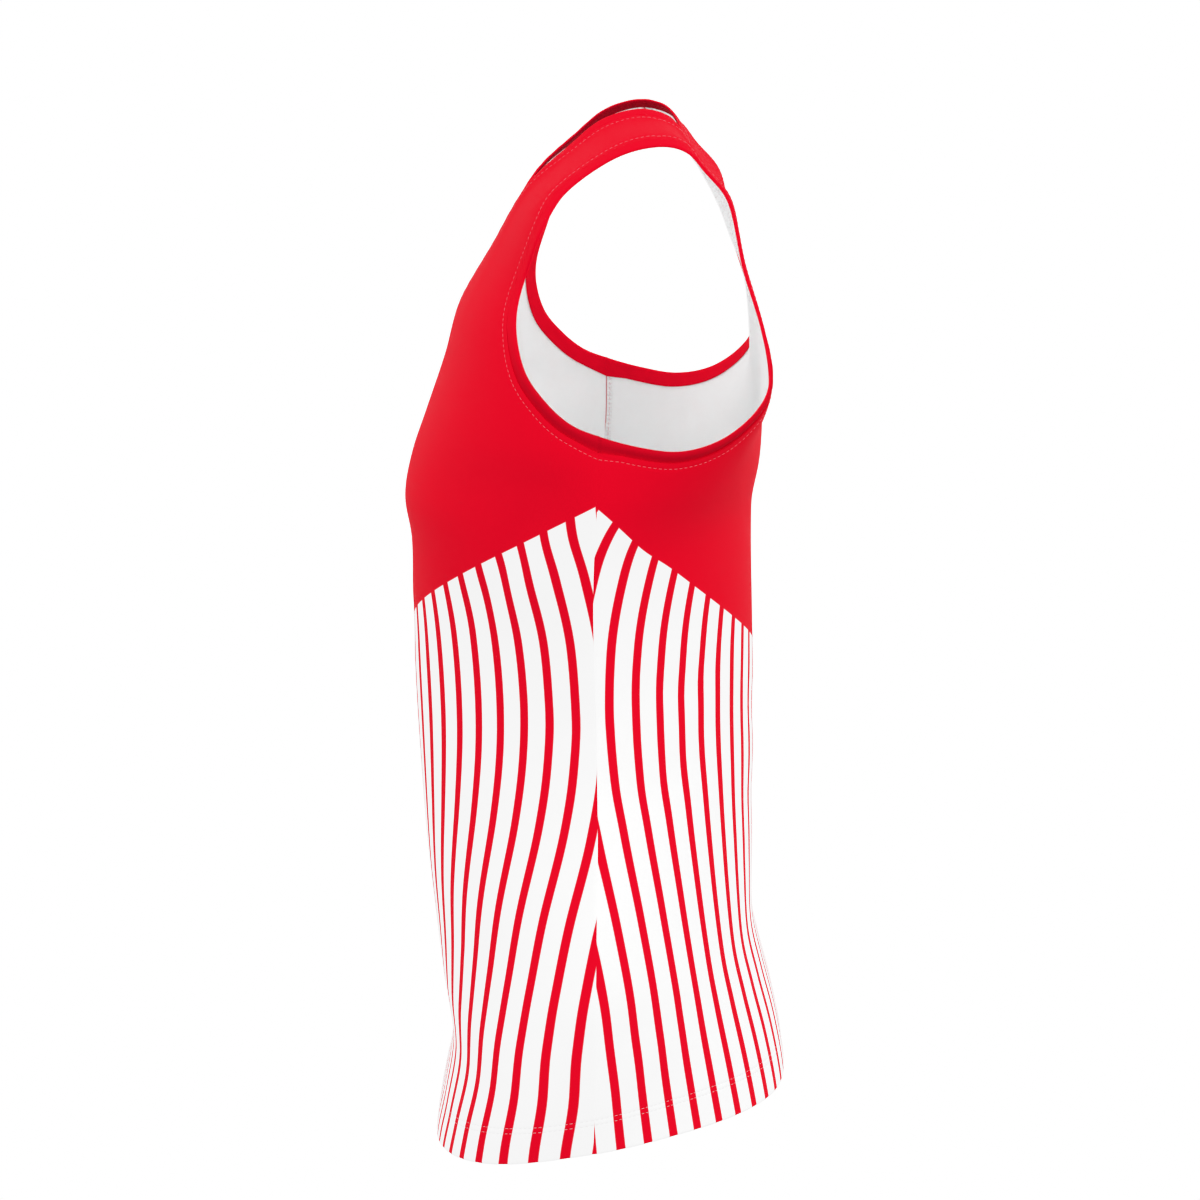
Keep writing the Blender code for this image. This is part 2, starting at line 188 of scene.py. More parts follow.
def build_mesh(name: str, points: Array, faces: list, marks: dict[str, Array],
               weld: bool = False) -> bpy.types.Object:
    """Makes a smooth-shaded mesh object whose faces look outwards.

    Args:
        name: The piece's name.
        points: Its vertices.
        faces: Its faces, as vertex numbers.
        marks: Three numbers a vertex under each name, for the finish to read.
        weld: Whether vertices at the same place are joined.

    Returns:
        The new object.
    """
    mesh = bpy.data.meshes.new(name)
    mesh.from_pydata(np.asarray(points, float).tolist(), [], [list(map(int, f)) for f in faces])
    for key, values in marks.items():
        layer = mesh.attributes.new(key, "FLOAT_VECTOR", "POINT")
        layer.data.foreach_set("vector", np.ascontiguousarray(values, np.float32).ravel())
    work = bmesh.new()
    work.from_mesh(mesh)
    if weld:
        bmesh.ops.remove_doubles(work, verts=work.verts, dist=WELD_GAP)
    bmesh.ops.recalc_face_normals(work, faces=work.faces)
    work.to_mesh(mesh)
    work.free()
    mesh.shade_smooth()
    mesh.set_sharp_from_angle(angle=SHARP_ANGLE)
    obj = bpy.data.objects.new(name, mesh)
    bpy.context.scene.collection.objects.link(obj)
    return obj


def dress(obj: bpy.types.Object, material: bpy.types.Material,
          replaces: str = "") -> bpy.types.Object:
    """Gives a piece its material, hangs it on the frame and reports it.

    Args:
        obj: The piece.
        material: Its material.
        replaces: The frame's node whose place it takes, if any.

    Returns:
        The piece.
    """
    obj.data.materials.append(material)
    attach(obj, "root")
    if replaces:
        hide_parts(replaces)
    LOG.info("%s: %d faces", obj.name, len(obj.data.polygons))
    return obj


# ---------------------------------------------------------------- the form that the cloth lies on


@dataclass(frozen=True)
class Swell:
    """A place where the cloth stands out from the loft."""

    side: Side
    x: float
    z: float
    reach_x: float
    reach_z: float
    out: float


@dataclass(frozen=True)
class Crease:
    """A soft trough or ridge.

    `path` holds (w, z) points, where w is the share of the way round: 0 at the middle of the front,
    1 at the wearer's left side seam, 2 at the middle of the back and -1 at the right side seam.
    """

    path: tuple[tuple[float, float], ...]
    width: float
    out: float


GIRTH_UNIT = 0.225  # about how much cloth there is from a centre line to a side seam

CREASES = (
    # left side: drags from the underarm towards the bust, and slack over the waist
    Crease(((0.86, -0.215), (0.72, -0.262), (0.60, -0.292)), 0.011, -0.0009),
    Crease(((0.97, -0.212), (0.86, -0.252), (0.76, -0.300)), 0.013, 0.0007),
    Crease(((1.10, -0.330), (0.92, -0.352), (0.78, -0.346)), 0.012, -0.0007),
    Crease(((1.42, -0.372), (1.22, -0.392), (1.02, -0.386), (0.88, -0.396)), 0.014, -0.0008),
    Crease(((1.55, -0.322), (1.34, -0.338), (1.16, -0.326)), 0.012, -0.0007),
    Crease(((1.30, -0.520), (1.12, -0.545), (0.98, -0.585)), 0.016, 0.0007),
    Crease(((0.52, -0.500), (0.60, -0.548), (0.58, -0.606)), 0.017, -0.0006),
    # right side: the same sort of folds, not the same ones
    Crease(((-0.84, -0.222), (-0.70, -0.258), (-0.56, -0.300)), 0.012, -0.0009),
    Crease(((-0.99, -0.225), (-0.90, -0.268), (-0.74, -0.312)), 0.014, 0.0007),
    Crease(((-1.14, -0.342), (-0.94, -0.338), (-0.80, -0.356)), 0.012, -0.0007),
    Crease(((-1.50, -0.382), (-1.26, -0.398), (-1.04, -0.404), (-0.84, -0.388)), 0.014, -0.0008),
    Crease(((-1.48, -0.318), (-1.28, -0.330), (-1.10, -0.316)), 0.012, -0.0007),
    Crease(((-1.24, -0.530), (-1.10, -0.562), (-1.02, -0.590)), 0.016, 0.0007),
    Crease(((-0.46, -0.516), (-0.55, -0.560), (-0.60, -0.612)), 0.017, -0.0006),
    # middle of the front and of the back
    Crease(((-0.22, -0.300), (0.02, -0.318), (0.24, -0.306)), 0.016, -0.0007),
    Crease(((1.74, -0.356), (1.96, -0.372), (2.20, -0.362)), 0.015, -0.0009),
    Crease(((1.66, -0.414), (1.92, -0.424), (2.14, -0.412)), 0.016, -0.0008),
    Crease(((1.84, -0.140), (1.92, -0.205), (1.86, -0.262)), 0.015, -0.0007),
    Crease(((2.20, -0.150), (2.12, -0.214), (2.17, -0.280)), 0.015, -0.0006),
)


@dataclass(frozen=True)
class Loft:
    """The jersey's form: the same rows and edges that its solids were made from."""

    neck_x: float = 0.078
    arm_x: float = 0.140
    strap_ease: float = 0.02  # how softly the shoulder line levels off inside the neck, in its shares
    strap_fall_depth: float = 0.0184
    fall_from: float = -0.150
    neck_shift: float = -0.005
    arm_shift: float = 0.0065
    shift_reach: float = 0.020
    swell_clear: float = 0.020
    arc_steps: int = 257
    level_steps: int = 2000
    spline_steps: int = 400
    edge_steps: int = 120
    edge_rounds: int = 12
    longest_step: float = 0.02
    inset_rounds: int = 4
    join_points: int = 8  # how many points of a line beside an edge are bent to a join
    join_reach: int = 5  # and over how many more its direction is read
    # level, half width, seam y, front y, crown, flank, back y, crown, flank
    body_rows: tuple = (
        (-0.650, 0.1845, -0.0310, -0.1330, 3.00, 3.90, 0.0880, 2.90, 1.40),
        (-0.622, 0.1850, -0.0310, -0.1309, 3.00, 3.90, 0.0877, 2.90, 1.35),
        (-0.596, 0.1890, -0.0309, -0.1256, 3.00, 3.55, 0.0868, 2.78, 1.15),
        (-0.562, 0.1928, -0.0299, -0.1215, 2.75, 2.85, 0.0807, 2.65, 1.06),
        (-0.530, 0.1946, -0.0296, -0.1284, 2.30, 2.15, 0.0724, 2.52, 1.10),
        (-0.500, 0.1938, -0.0293, -0.1328, 2.15, 1.70, 0.0662, 2.31, 1.20),
        (-0.460, 0.1852, -0.0289, -0.1377, 2.17, 1.40, 0.0659, 2.09, 1.19),
        (-0.410, 0.1701, -0.0286, -0.1414, 2.29, 1.12, 0.0662, 2.08, 1.14),
        (-0.360, 0.1594, -0.0294, -0.1443, 2.33, 1.04, 0.0659, 2.11, 1.15),
        (-0.305, 0.1584, -0.0310, -0.1457, 2.45, 1.06, 0.0643, 2.26, 1.21),
        (-0.262, 0.1637, -0.0311, -0.1452, 2.70, 1.23, 0.0633, 2.44, 1.36),
        (-0.235, 0.1696, -0.0298, -0.1490, 2.66, 1.27, 0.0640, 2.48, 1.60),
        (-0.210, 0.1755, -0.0285, -0.1447, 2.52, 1.42, 0.0676, 2.70, 2.15),
        (-0.184, 0.1795, -0.0283, -0.1358, 2.40, 1.75, 0.0682, 3.20, 2.95),
    )
    # level, half width, side y, centre y, crown, flank
    front_rows: tuple = (
        (-0.150, 0.1780, -0.0270, -0.1240, 2.30, 2.10),
        (-0.118, 0.1730, -0.0260, -0.1147, 2.30, 2.20),
        (-0.082, 0.1770, -0.0210, -0.0952, 2.30, 2.30),
        (-0.045, 0.2120, -0.0120, -0.0730, 2.50, 2.50),
        (-0.020, 0.2700, -0.0040, -0.0436, 3.00, 3.00),
        (-0.0048, 0.3000, 0.0000, -0.0212, 3.00, 3.00),
        (0.000, 0.3000, 0.0000, 0.0000, 3.00, 3.00),
    )
    back_rows: tuple = (
        (-0.150, 0.1780, -0.0270, 0.0660, 4.40, 4.40),
        (-0.118, 0.1730, -0.0260, 0.0631, 5.00, 5.00),
        (-0.082, 0.2000, -0.0200, 0.0556, 3.80, 3.80),
        (-0.050, 0.2500, -0.0120, 0.0472, 3.40, 3.40),
        (-0.022, 0.3000, -0.0040, 0.0278, 3.40, 3.40),
        (-0.0052, 0.3000, 0.0000, 0.0165, 3.40, 3.40),
        (0.000, 0.3000, 0.0000, 0.0000, 3.40, 3.40),
    )
    swells: tuple[Swell, ...] = (
        Swell(Side.BACK, 0.148, -0.152, 0.034, 0.044, 0.0130),
        Swell(Side.BACK, 0.140, -0.042, 0.036, 0.0165, 0.0090),
        Swell(Side.BACK, 0.142, -0.080, 0.036, 0.035, 0.0028),
        Swell(Side.BACK, 0.000, -0.044, 0.085, 0.026, -0.0095),
        Swell(Side.BACK, 0.000, -0.078, 0.085, 0.022, -0.0035),
    )
    # lower edge: front level, back level, evenly spread from the centre to the side seam
    hem_rows: tuple = (
        (-0.6370, -0.6020), (-0.6310, -0.6003), (-0.6192, -0.5965), (-0.6067, -0.5945), (-0.5953, -0.5953),
    )
    # free edges of the openings: x, y, z
    neck_edge: tuple = (
        (0.0000, -0.1142, -0.1180), (0.0210, -0.1100, -0.1100), (0.0400, -0.0980, -0.0900),
        (0.0560, -0.0835, -0.0650), (0.0680, -0.0690, -0.0450), (0.0740, -0.0500, -0.0240),
        (0.0775, -0.0300, -0.0085), (0.0780, -0.0050, 0.0000), (0.0775, 0.0060, -0.0025),
        (0.0700, 0.0133, -0.0075), (0.0550, 0.0178, -0.0120), (0.0300, 0.0212, -0.0155),
        (0.0000, 0.0222, -0.0168),
    )
    arm_edge: tuple = (
        (0.1795, -0.0285, -0.1760), (0.1750, -0.0440, -0.1695), (0.1690, -0.0580, -0.1573),
        (0.1600, -0.0700, -0.1410), (0.1500, -0.0765, -0.1180), (0.1440, -0.0745, -0.0950),
        (0.1475, -0.0590, -0.0675), (0.1410, -0.0470, -0.0440), (0.1400, -0.0240, -0.0255),
        (0.1400, 0.0065, -0.0184), (0.1390, 0.0260, -0.0240), (0.1370, 0.0405, -0.0402),
        (0.1350, 0.0502, -0.0656), (0.1340, 0.0572, -0.0930), (0.1350, 0.0648, -0.1200),
        (0.1400, 0.0700, -0.1480), (0.1523, 0.0640, -0.1656), (0.1650, 0.0465, -0.1810),
        (0.1740, 0.0200, -0.1859), (0.1790, -0.0050, -0.1825),
    )
    shoulder_at_neck: int = 7
    shoulder_at_arm: int = 9

    def rows(self, side: Side) -> list:
        """Puts together one panel's rows, hem upwards.

        Args:
            side: The panel.

        Returns:
            Level, half width, seam y, centre y, crown and flank of each.
        """
        centre = 3 if side is Side.FRONT else 6
        body = [(*row[:3], *row[centre:centre + 3]) for row in self.body_rows]
        return body + list(self.front_rows if side is Side.FRONT else self.back_rows)

    def top(self, side: Side) -> int:
        """The row count at the shoulder line."""
        return len(self.rows(side)) - 1

    def section(self, side: Side, t: Array) -> Array:
        """The loft's row at t. Over the shoulder it runs on into the other panel."""
        beyond = (self.back_rows if side is Side.FRONT else self.front_rows)[-2]
        return spline(self.rows(side), t, beyond)

    def strap_share(self, x: Array) -> Array:
        """0 at the neck end of the shoulder line, 1 at its arm end, levelling off inwards."""
        share = (np.abs(x) - self.neck_x) / (self.arm_x - self.neck_x)
        return 0.5 * (share + np.sqrt(share**2 + self.strap_ease**2))

    def strap_fall(self, x: Array) -> Array:
        """Works out how far the shoulder line lies under the neck point.

        Args:
            x: Distances from the X = 0 plane.

        Returns:
            One drop for each, growing fastest at both edges of the strap.
        """
        share = self.strap_share(x)
        bend = 2 * share - 1
        return self.strap_fall_depth * (0.5 * share + 0.25 * (1 + np.where(bend < 1, bend**5, 5 * bend - 4)))

    def quarter(self, side: Side, t: Array) -> tuple[Array, ...]:
        """One quarter of each section, from the centre line to the side seam.

        Args:
            side: The panel.
            t: The sections wanted.

        Returns:
            The sections' rows, x, y from the seam's plane, and the length along the cloth.
        """
        row = self.section(side, t).reshape(-1, 6)
        _, half, seam, centre, crown, flank = (a[:, None] for a in row.T)
        run = np.sin(np.pi / 2 * np.sin(np.linspace(0, np.pi / 2, self.arc_steps)))
        x = half * run
        y = (centre - seam) * np.maximum(1 - run**crown, 0) ** (1 / flank)
        steps = np.hypot(np.diff(x), np.diff(y))
        return row, x, y, np.hstack([np.zeros_like(half), np.cumsum(steps, axis=1)])

    def half_girth(self, side: Side, t: Array) -> Array:
        """The cloth's length from the centre line to the side seam at each t."""
        return self.quarter(side, t)[3][:, -1].reshape(np.shape(t))

    def surface(self, side: Side, t: Array, r: Array) -> Array:
        """Points of a panel's outer face on the wearer's left.

        Args:
            side: The panel.
            t: Row counts.
            r: Shares of the way round.

        Returns:
            One point for each pair.
        """
        shape = np.shape(t)
        row, xs, ys, along = self.quarter(side, t)
        wanted = np.ravel(np.broadcast_to(r, shape)) * along[:, -1]
        x = np.array([np.interp(w, a, curve) for w, a, curve in zip(wanted, along, xs)])
        y = np.array([np.interp(w, a, curve) for w, a, curve in zip(wanted, along, ys)])
        level, seam = row[:, 0], row[:, 2]
        fade = np.clip((level - self.fall_from) / -self.fall_from, 0, 1)
        z = level - self.strap_fall(x) * fade**2 * (3 - 2 * fade)
        inside = 1 - np.exp(-((y / self.swell_clear) ** 2))
        slant = self.neck_shift + (self.arm_shift - self.neck_shift) * self.strap_share(x)
        y = y + seam + slant * np.exp(-((level / self.shift_reach) ** 2))
        for swell in self.swells:
            if swell.side is side:
                near = ((x - swell.x) / swell.reach_x) ** 2 + ((z - swell.z) / swell.reach_z) ** 2
                y = y + side.value * swell.out * inside * np.exp(-near)
        return np.stack([x, y, z], axis=-1).reshape(*shape, 3)

    def slopes(self, side: Side, t: Array, r: Array) -> Line:
        """Finds how the surface moves with t and with r.

        Args:
            side: The panel.
            t: Row counts.
            r: Shares of the way round.

        Returns:
            The moves by one row and by the whole way round.
        """
        dt, dr = 0.02, 0.004
        low_t, high_t = np.clip(t - dt, 0, None), np.clip(t + dt, None, self.top(side))
        low_r, high_r = np.clip(r - dr, 0, 1), np.clip(r + dr, 0, 1)
        by_t = self.surface(side, high_t, r) - self.surface(side, low_t, r)
        by_r = self.surface(side, t, high_r) - self.surface(side, t, low_r)
        return by_t / (high_t - low_t)[..., None], by_r / (high_r - low_r)[..., None]

    def normals(self, side: Side, t: Array, r: Array) -> Array:
        """Finds the directions straight out of the cloth.

        Args:
            side: The panel.
            t: Row counts.
            r: Shares of the way round.

        Returns:
            One unit vector for each pair, square to y where two panels meet.
        """
        by_t, by_r = self.slopes(side, t, r)
        out = unit(np.cross(by_r, by_t) * -side.value)
        meets = (np.asarray(r) > 1 - 1e-9) | (np.asarray(t) > self.top(side) - 1e-9)
        return unit(out * np.where(meets[..., None], (1, 0, 1), 1))

    def step(self, side: Side, t: Array, r: Array, move: Array) -> Line:
        """Finds the (t, r) that a small move in space reaches.

        Args:
            side: The panel.
            t: The row counts moved from.
            r: The shares moved from.
            move: One small move in space for each.

        Returns:
            The new t and r, kept on the panel.
        """
        by_t, by_r = self.slopes(side, t, r)
        tt, rr, tr = (np.sum(a * b, axis=-1) for a, b in ((by_t, by_t), (by_r, by_r), (by_t, by_r)))
        mt, mr = np.sum(by_t * move, axis=-1), np.sum(by_r * move, axis=-1)
        lift = 1e-6 * (tt + rr)
        scale = (tt + lift) * (rr + lift) - tr**2
        t = t + ((rr + lift) * mt - tr * mr) / scale
        r = r + ((tt + lift) * mr - tr * mt) / scale
        return np.clip(t, 0, self.top(side)), np.clip(r, 0, 1)

    def level_to_t(self, side: Side, level: Array) -> Array:
        """The row count at which the loft reaches a level."""
        counts = np.linspace(0, self.top(side), self.level_steps)
        return np.interp(level, self.section(side, counts)[:, 0], counts)

    def hem_t(self, side: Side, r: Array, up: float = 0.0) -> Array:
        """Finds the rows that lie at a height over the hem's edge.

        Args:
            side: The panel.
            r: Shares of the way round.
            up: The height over the edge.

        Returns:
            One row count for each share.
        """
        column = 0 if side is Side.FRONT else 1
        level = spline(self.hem_rows, r * (len(self.hem_rows) - 1))[..., column]
        return self.level_to_t(side, level + up)

    def edge(self, side: Side, table: tuple, first: int, last: int, ends: tuple[str, str]) -> Line:
        """Lays an opening's free edge on one panel.

        Args:
            side: The panel.
            table: The points that the edge passes.
            first: The row it starts at.
            last: The row it ends at.
            ends: The line that each end is on: centre, seam or shoulder.

        Returns:
            Evenly spaced t and r.
        """
        rows = np.asarray([table[i % len(table)] for i in range(first - 1, last + 2)])
        for end, mirrored, where in ((0, 2, ends[0]), (-1, -3, ends[1])):
            if where == "centre":
                rows[end] = rows[mirrored] * (-1, 1, 1)
        counts = np.linspace(1, len(rows) - 2, self.spline_steps)
        points = even(spline(rows, counts), self.edge_steps + 1)
        up = np.clip(1 - points[:, 2] / self.fall_from, 0, 1)
        level = points[:, 2] + self.strap_fall(points[:, 0]) * up
        t, r = self.level_to_t(side, level), np.clip(points[:, 0] / 0.2, 0.02, 0.98)  # a first guess
        for _ in range(self.edge_rounds):
            gap = points - self.surface(side, t, r)
            reach = np.linalg.norm(gap, axis=-1, keepdims=True)
            t, r = self.step(side, t, r, gap * np.minimum(1, self.longest_step / np.maximum(reach, 1e-9)))
        for end, where in ((0, ends[0]), (-1, ends[1])):
            if where == "centre":
                r[end] = 0
            elif where == "seam":
                t[end], r[end] = self.level_to_t(side, points[end, 2]), 1
            else:
                t[end], r[end] = self.top(side), points[end, 0] / self.rows(side)[-1][1]
        return t, r

    def inset(self, side: Side, line: Line, into: int, width: float) -> Line:
        """The line on the cloth that runs beside an edge.

        Args:
            side: The panel.
            line: The edge's t and r.
            into: 1 where the cloth lies to the left of the edge as seen from outside, else -1.
            width: How far from the edge the line runs.

        Returns:
            The line's t and r.
        """
        t, r = line
        top = self.top(side)
        for _ in range(self.inset_rounds):
            run = np.gradient(self.surface(side, t, r), axis=0)
            by_t, by_r = self.slopes(side, t, r)
            for i in (0, -1):
                along = by_r[i] if t[i] == top else by_t[i]
                run[i] -= along * np.dot(run[i], along) / np.dot(along, along)
            out = unit(np.cross(by_r, by_t) * -side.value)
            inward = np.cross(out, unit(run)) * into
            new_t, new_r = self.step(side, t, r, inward * width / self.inset_rounds)
            for i in (0, -1):
                if t[i] == top:
                    new_t[i] = top
                else:
                    new_r[i] = r[i]
            t, r = new_t, new_r
        return t, r

    def joined(self, lines: dict, at_seam: bool) -> dict:
        """Makes both panels' lines beside an edge meet on the shoulder line and on the side seam.

        Args:
            lines: Each side's t and r, ending on the shoulder.
            at_seam: Whether they start on the side seam.

        Returns:
            The same lines, bent a little near their ends.
        """
        near = self.join_points
        far = near + self.join_reach
        crests, levels = [], []
        for side, (t, r) in lines.items():
            slope = (r[-near] - r[-far]) / (t[-near] - t[-far])
            crests.append(r[-near] + slope * (self.top(side) - t[-near]))
            slope = (t[near] - t[far]) / (r[near] - r[far])
            levels.append(self.section(side, t[near] + slope * (1 - r[near]))[0])
        bent = {}
        for side, (t, r) in lines.items():
            t, r = t.copy(), r.copy()
            t[-near:] = np.linspace(t[-near], self.top(side), near)
            r[-near:] = np.linspace(r[-near], np.mean(crests), near)
            if at_seam:
                t[:near] = np.linspace(self.level_to_t(side, np.mean(levels)), t[near - 1], near)
                r[:near] = np.linspace(1, r[near - 1], near)
            bent[side] = t, r
        return bent

    @lru_cache(maxsize=None)
    def line(self, edge: Edge, side: Side, width: float = 0.0) -> Line:
        """(t, r) of a line beside a free edge, from the centre line or the side seam to the shoulder.

        Args:
            edge: The kind of opening.
            side: The panel.
            width: How far from the free edge the line runs.

        Returns:
            The line's t and r.
        """
        if width:
            way = 1 if edge is Edge.NECK else -1
            lines = {one: self.inset(one, self.line(edge, one), way * one.value, width) for one in Side}
            return self.joined(lines, edge is Edge.ARMHOLE)[side]
        table, shoulder, last = (
            (self.neck_edge, self.shoulder_at_neck, len(self.neck_edge) - 1) if edge is Edge.NECK
            else (self.arm_edge, self.shoulder_at_arm, len(self.arm_edge)))
        if side is Side.FRONT:
            return self.edge(side, table, 0, shoulder, (edge.value, "shoulder"))
        t, r = self.edge(side, table, shoulder, last, ("shoulder", edge.value))
        return t[::-1].copy(), r[::-1].copy()


@dataclass(frozen=True)
class Drape:
    """The loft with the soft creases of worn cloth on it."""

    loft: Loft
    creases: tuple[Crease, ...]
    clear: tuple[float, float] = (0.012, 0.040)  # creases grow between these distances from an opening
    hem_clear: tuple[float, float] = (0.004, 0.050)
    taper: tuple[float, float] = (-0.2, 0.35)  # and fade towards their ends, in shares of their length

    @lru_cache(maxsize=None)
    def free_edges(self, hand: Hand) -> list[Array]:
        """The free edges of the neck and one armhole, as polylines in space."""
        return [self.loft.surface(side, *self.loft.line(edge, side)) * (hand.value, 1, 1)
                for side in Side for edge in Edge]

    def relief(self, side: Side, hand: Hand, points: Array, r: Array, from_hem: Array) -> Array:
        """How far the creases move the cloth outwards.

        Args:
            side: The panel.
            hand: The half.
            points: The cloth's points.
            r: Their shares of the way round.
            from_hem: Their heights over the hem.

        Returns:
            One distance for each point.
        """
        w = hand.value * (r if side is Side.FRONT else 2 - r)
        out = np.zeros(len(points))
        for crease in self.creases:
            path = np.asarray(crease.path) * (GIRTH_UNIT, 1)
            reach = lengths_along(path)[-1]
            for turn in (-4, 0, 4):
                here = np.stack([(w + turn) * GIRTH_UNIT, points[:, 2]], axis=1)
                across = gap_to_line(here, path)
                ends = np.min([np.linalg.norm(here - end, axis=1) for end in (path[0], path[-1])], axis=0)
                taper = smooth(ends / reach, *self.taper)
                out += crease.out * taper * np.exp(-((across / crease.width) ** 2))
        gap = np.min([gap_to_line(points, line) for line in self.free_edges(hand)], axis=0)
        return out * smooth(gap, *self.clear) * smooth(from_hem, *self.hem_clear)

    def lay(self, side: Side, hand: Hand, t: Array, r: Array) -> Line:
        """Points of the draped cloth's outer face.

        Args:
            side: The panel.
            hand: The half.
            t: Row counts.
            r: Shares of the way round.

        Returns:
            Points and outward unit vectors.
        """
        t, r = np.broadcast_arrays(t, r)
        flip = (hand.value, 1, 1)
        points = (self.loft.surface(side, t, r) * flip).reshape(-1, 3)
        out = (self.loft.normals(side, t, r) * flip).reshape(-1, 3)
        from_hem = (self.loft.section(side, t)[..., 0]
                    - self.loft.section(side, self.loft.hem_t(side, r))[..., 0]).ravel()
        points = points + out * self.relief(side, hand, points, r.ravel(), from_hem)[:, None]
        return points.reshape(*t.shape, 3), out.reshape(*t.shape, 3)

    def ring(self, lines: dict, hand: Hand) -> Array:
        """One half's stretch of a line round an opening, over both panels.

        Args:
            lines: Each side's t and r, ending on the shoulder.
            hand: The half.

        Returns:
            Rows of a point and its outward vector, from the front's first to the back's first.
        """
        front, back = (np.hstack(self.lay(side, hand, *lines[side])) for side in Side)
        return np.vstack([front, back[::-1][1:]])


# ---------------------------------------------------------------- finishes


class Signal:
    """A number that changes over a surface: a shader socket that can be reckoned with."""

    def __init__(self, finish: "Nodes", socket: bpy.types.NodeSocket) -> None:
        """Wraps a socket of a finish."""
        self.finish, self.socket = finish, socket

    def use(self, operation: str, *others: object) -> "Signal":
        """Feeds this signal, and then the others, to a Math node.

        Args:
            operation: The Math node's operation.
            others: Signals or numbers.

        Returns:
            What the node gives.
        """
        return self.finish.math(operation, self, *others)

    def __add__(self, other: object) -> "Signal":
        """self + other."""
        return self.use("ADD", other)

    def __radd__(self, other: object) -> "Signal":
        """other + self."""
        return self.finish.math("ADD", other, self)

    def __sub__(self, other: object) -> "Signal":
        """self - other."""
        return self.use("SUBTRACT", other)

    def __rsub__(self, other: object) -> "Signal":
        """other - self."""
        return self.finish.math("SUBTRACT", other, self)

    def __mul__(self, other: object) -> "Signal":
        """self * other."""
        return self.use("MULTIPLY", other)

    def __rmul__(self, other: object) -> "Signal":
        """other * self."""
        return self.finish.math("MULTIPLY", other, self)

    def __truediv__(self, other: object) -> "Signal":
        """self / other."""
        return self.use("DIVIDE", other)

    def __abs__(self) -> "Signal":
        """abs(self)."""
        return self.use("ABSOLUTE")

    def held(self) -> "Signal":
        """Holds the signal between 0 and 1.

        Returns:
            The same number, cut off below 0 and above 1.
        """
        held = self.use("ADD", 0.0)
        held.socket.node.use_clamp = True
        return held

    def bell(self, width: float) -> "Signal":
        """1 where the signal is 0, dying away within about the width."""
        share = self / width
        return (share * share * -1.0).use("EXPONENT")


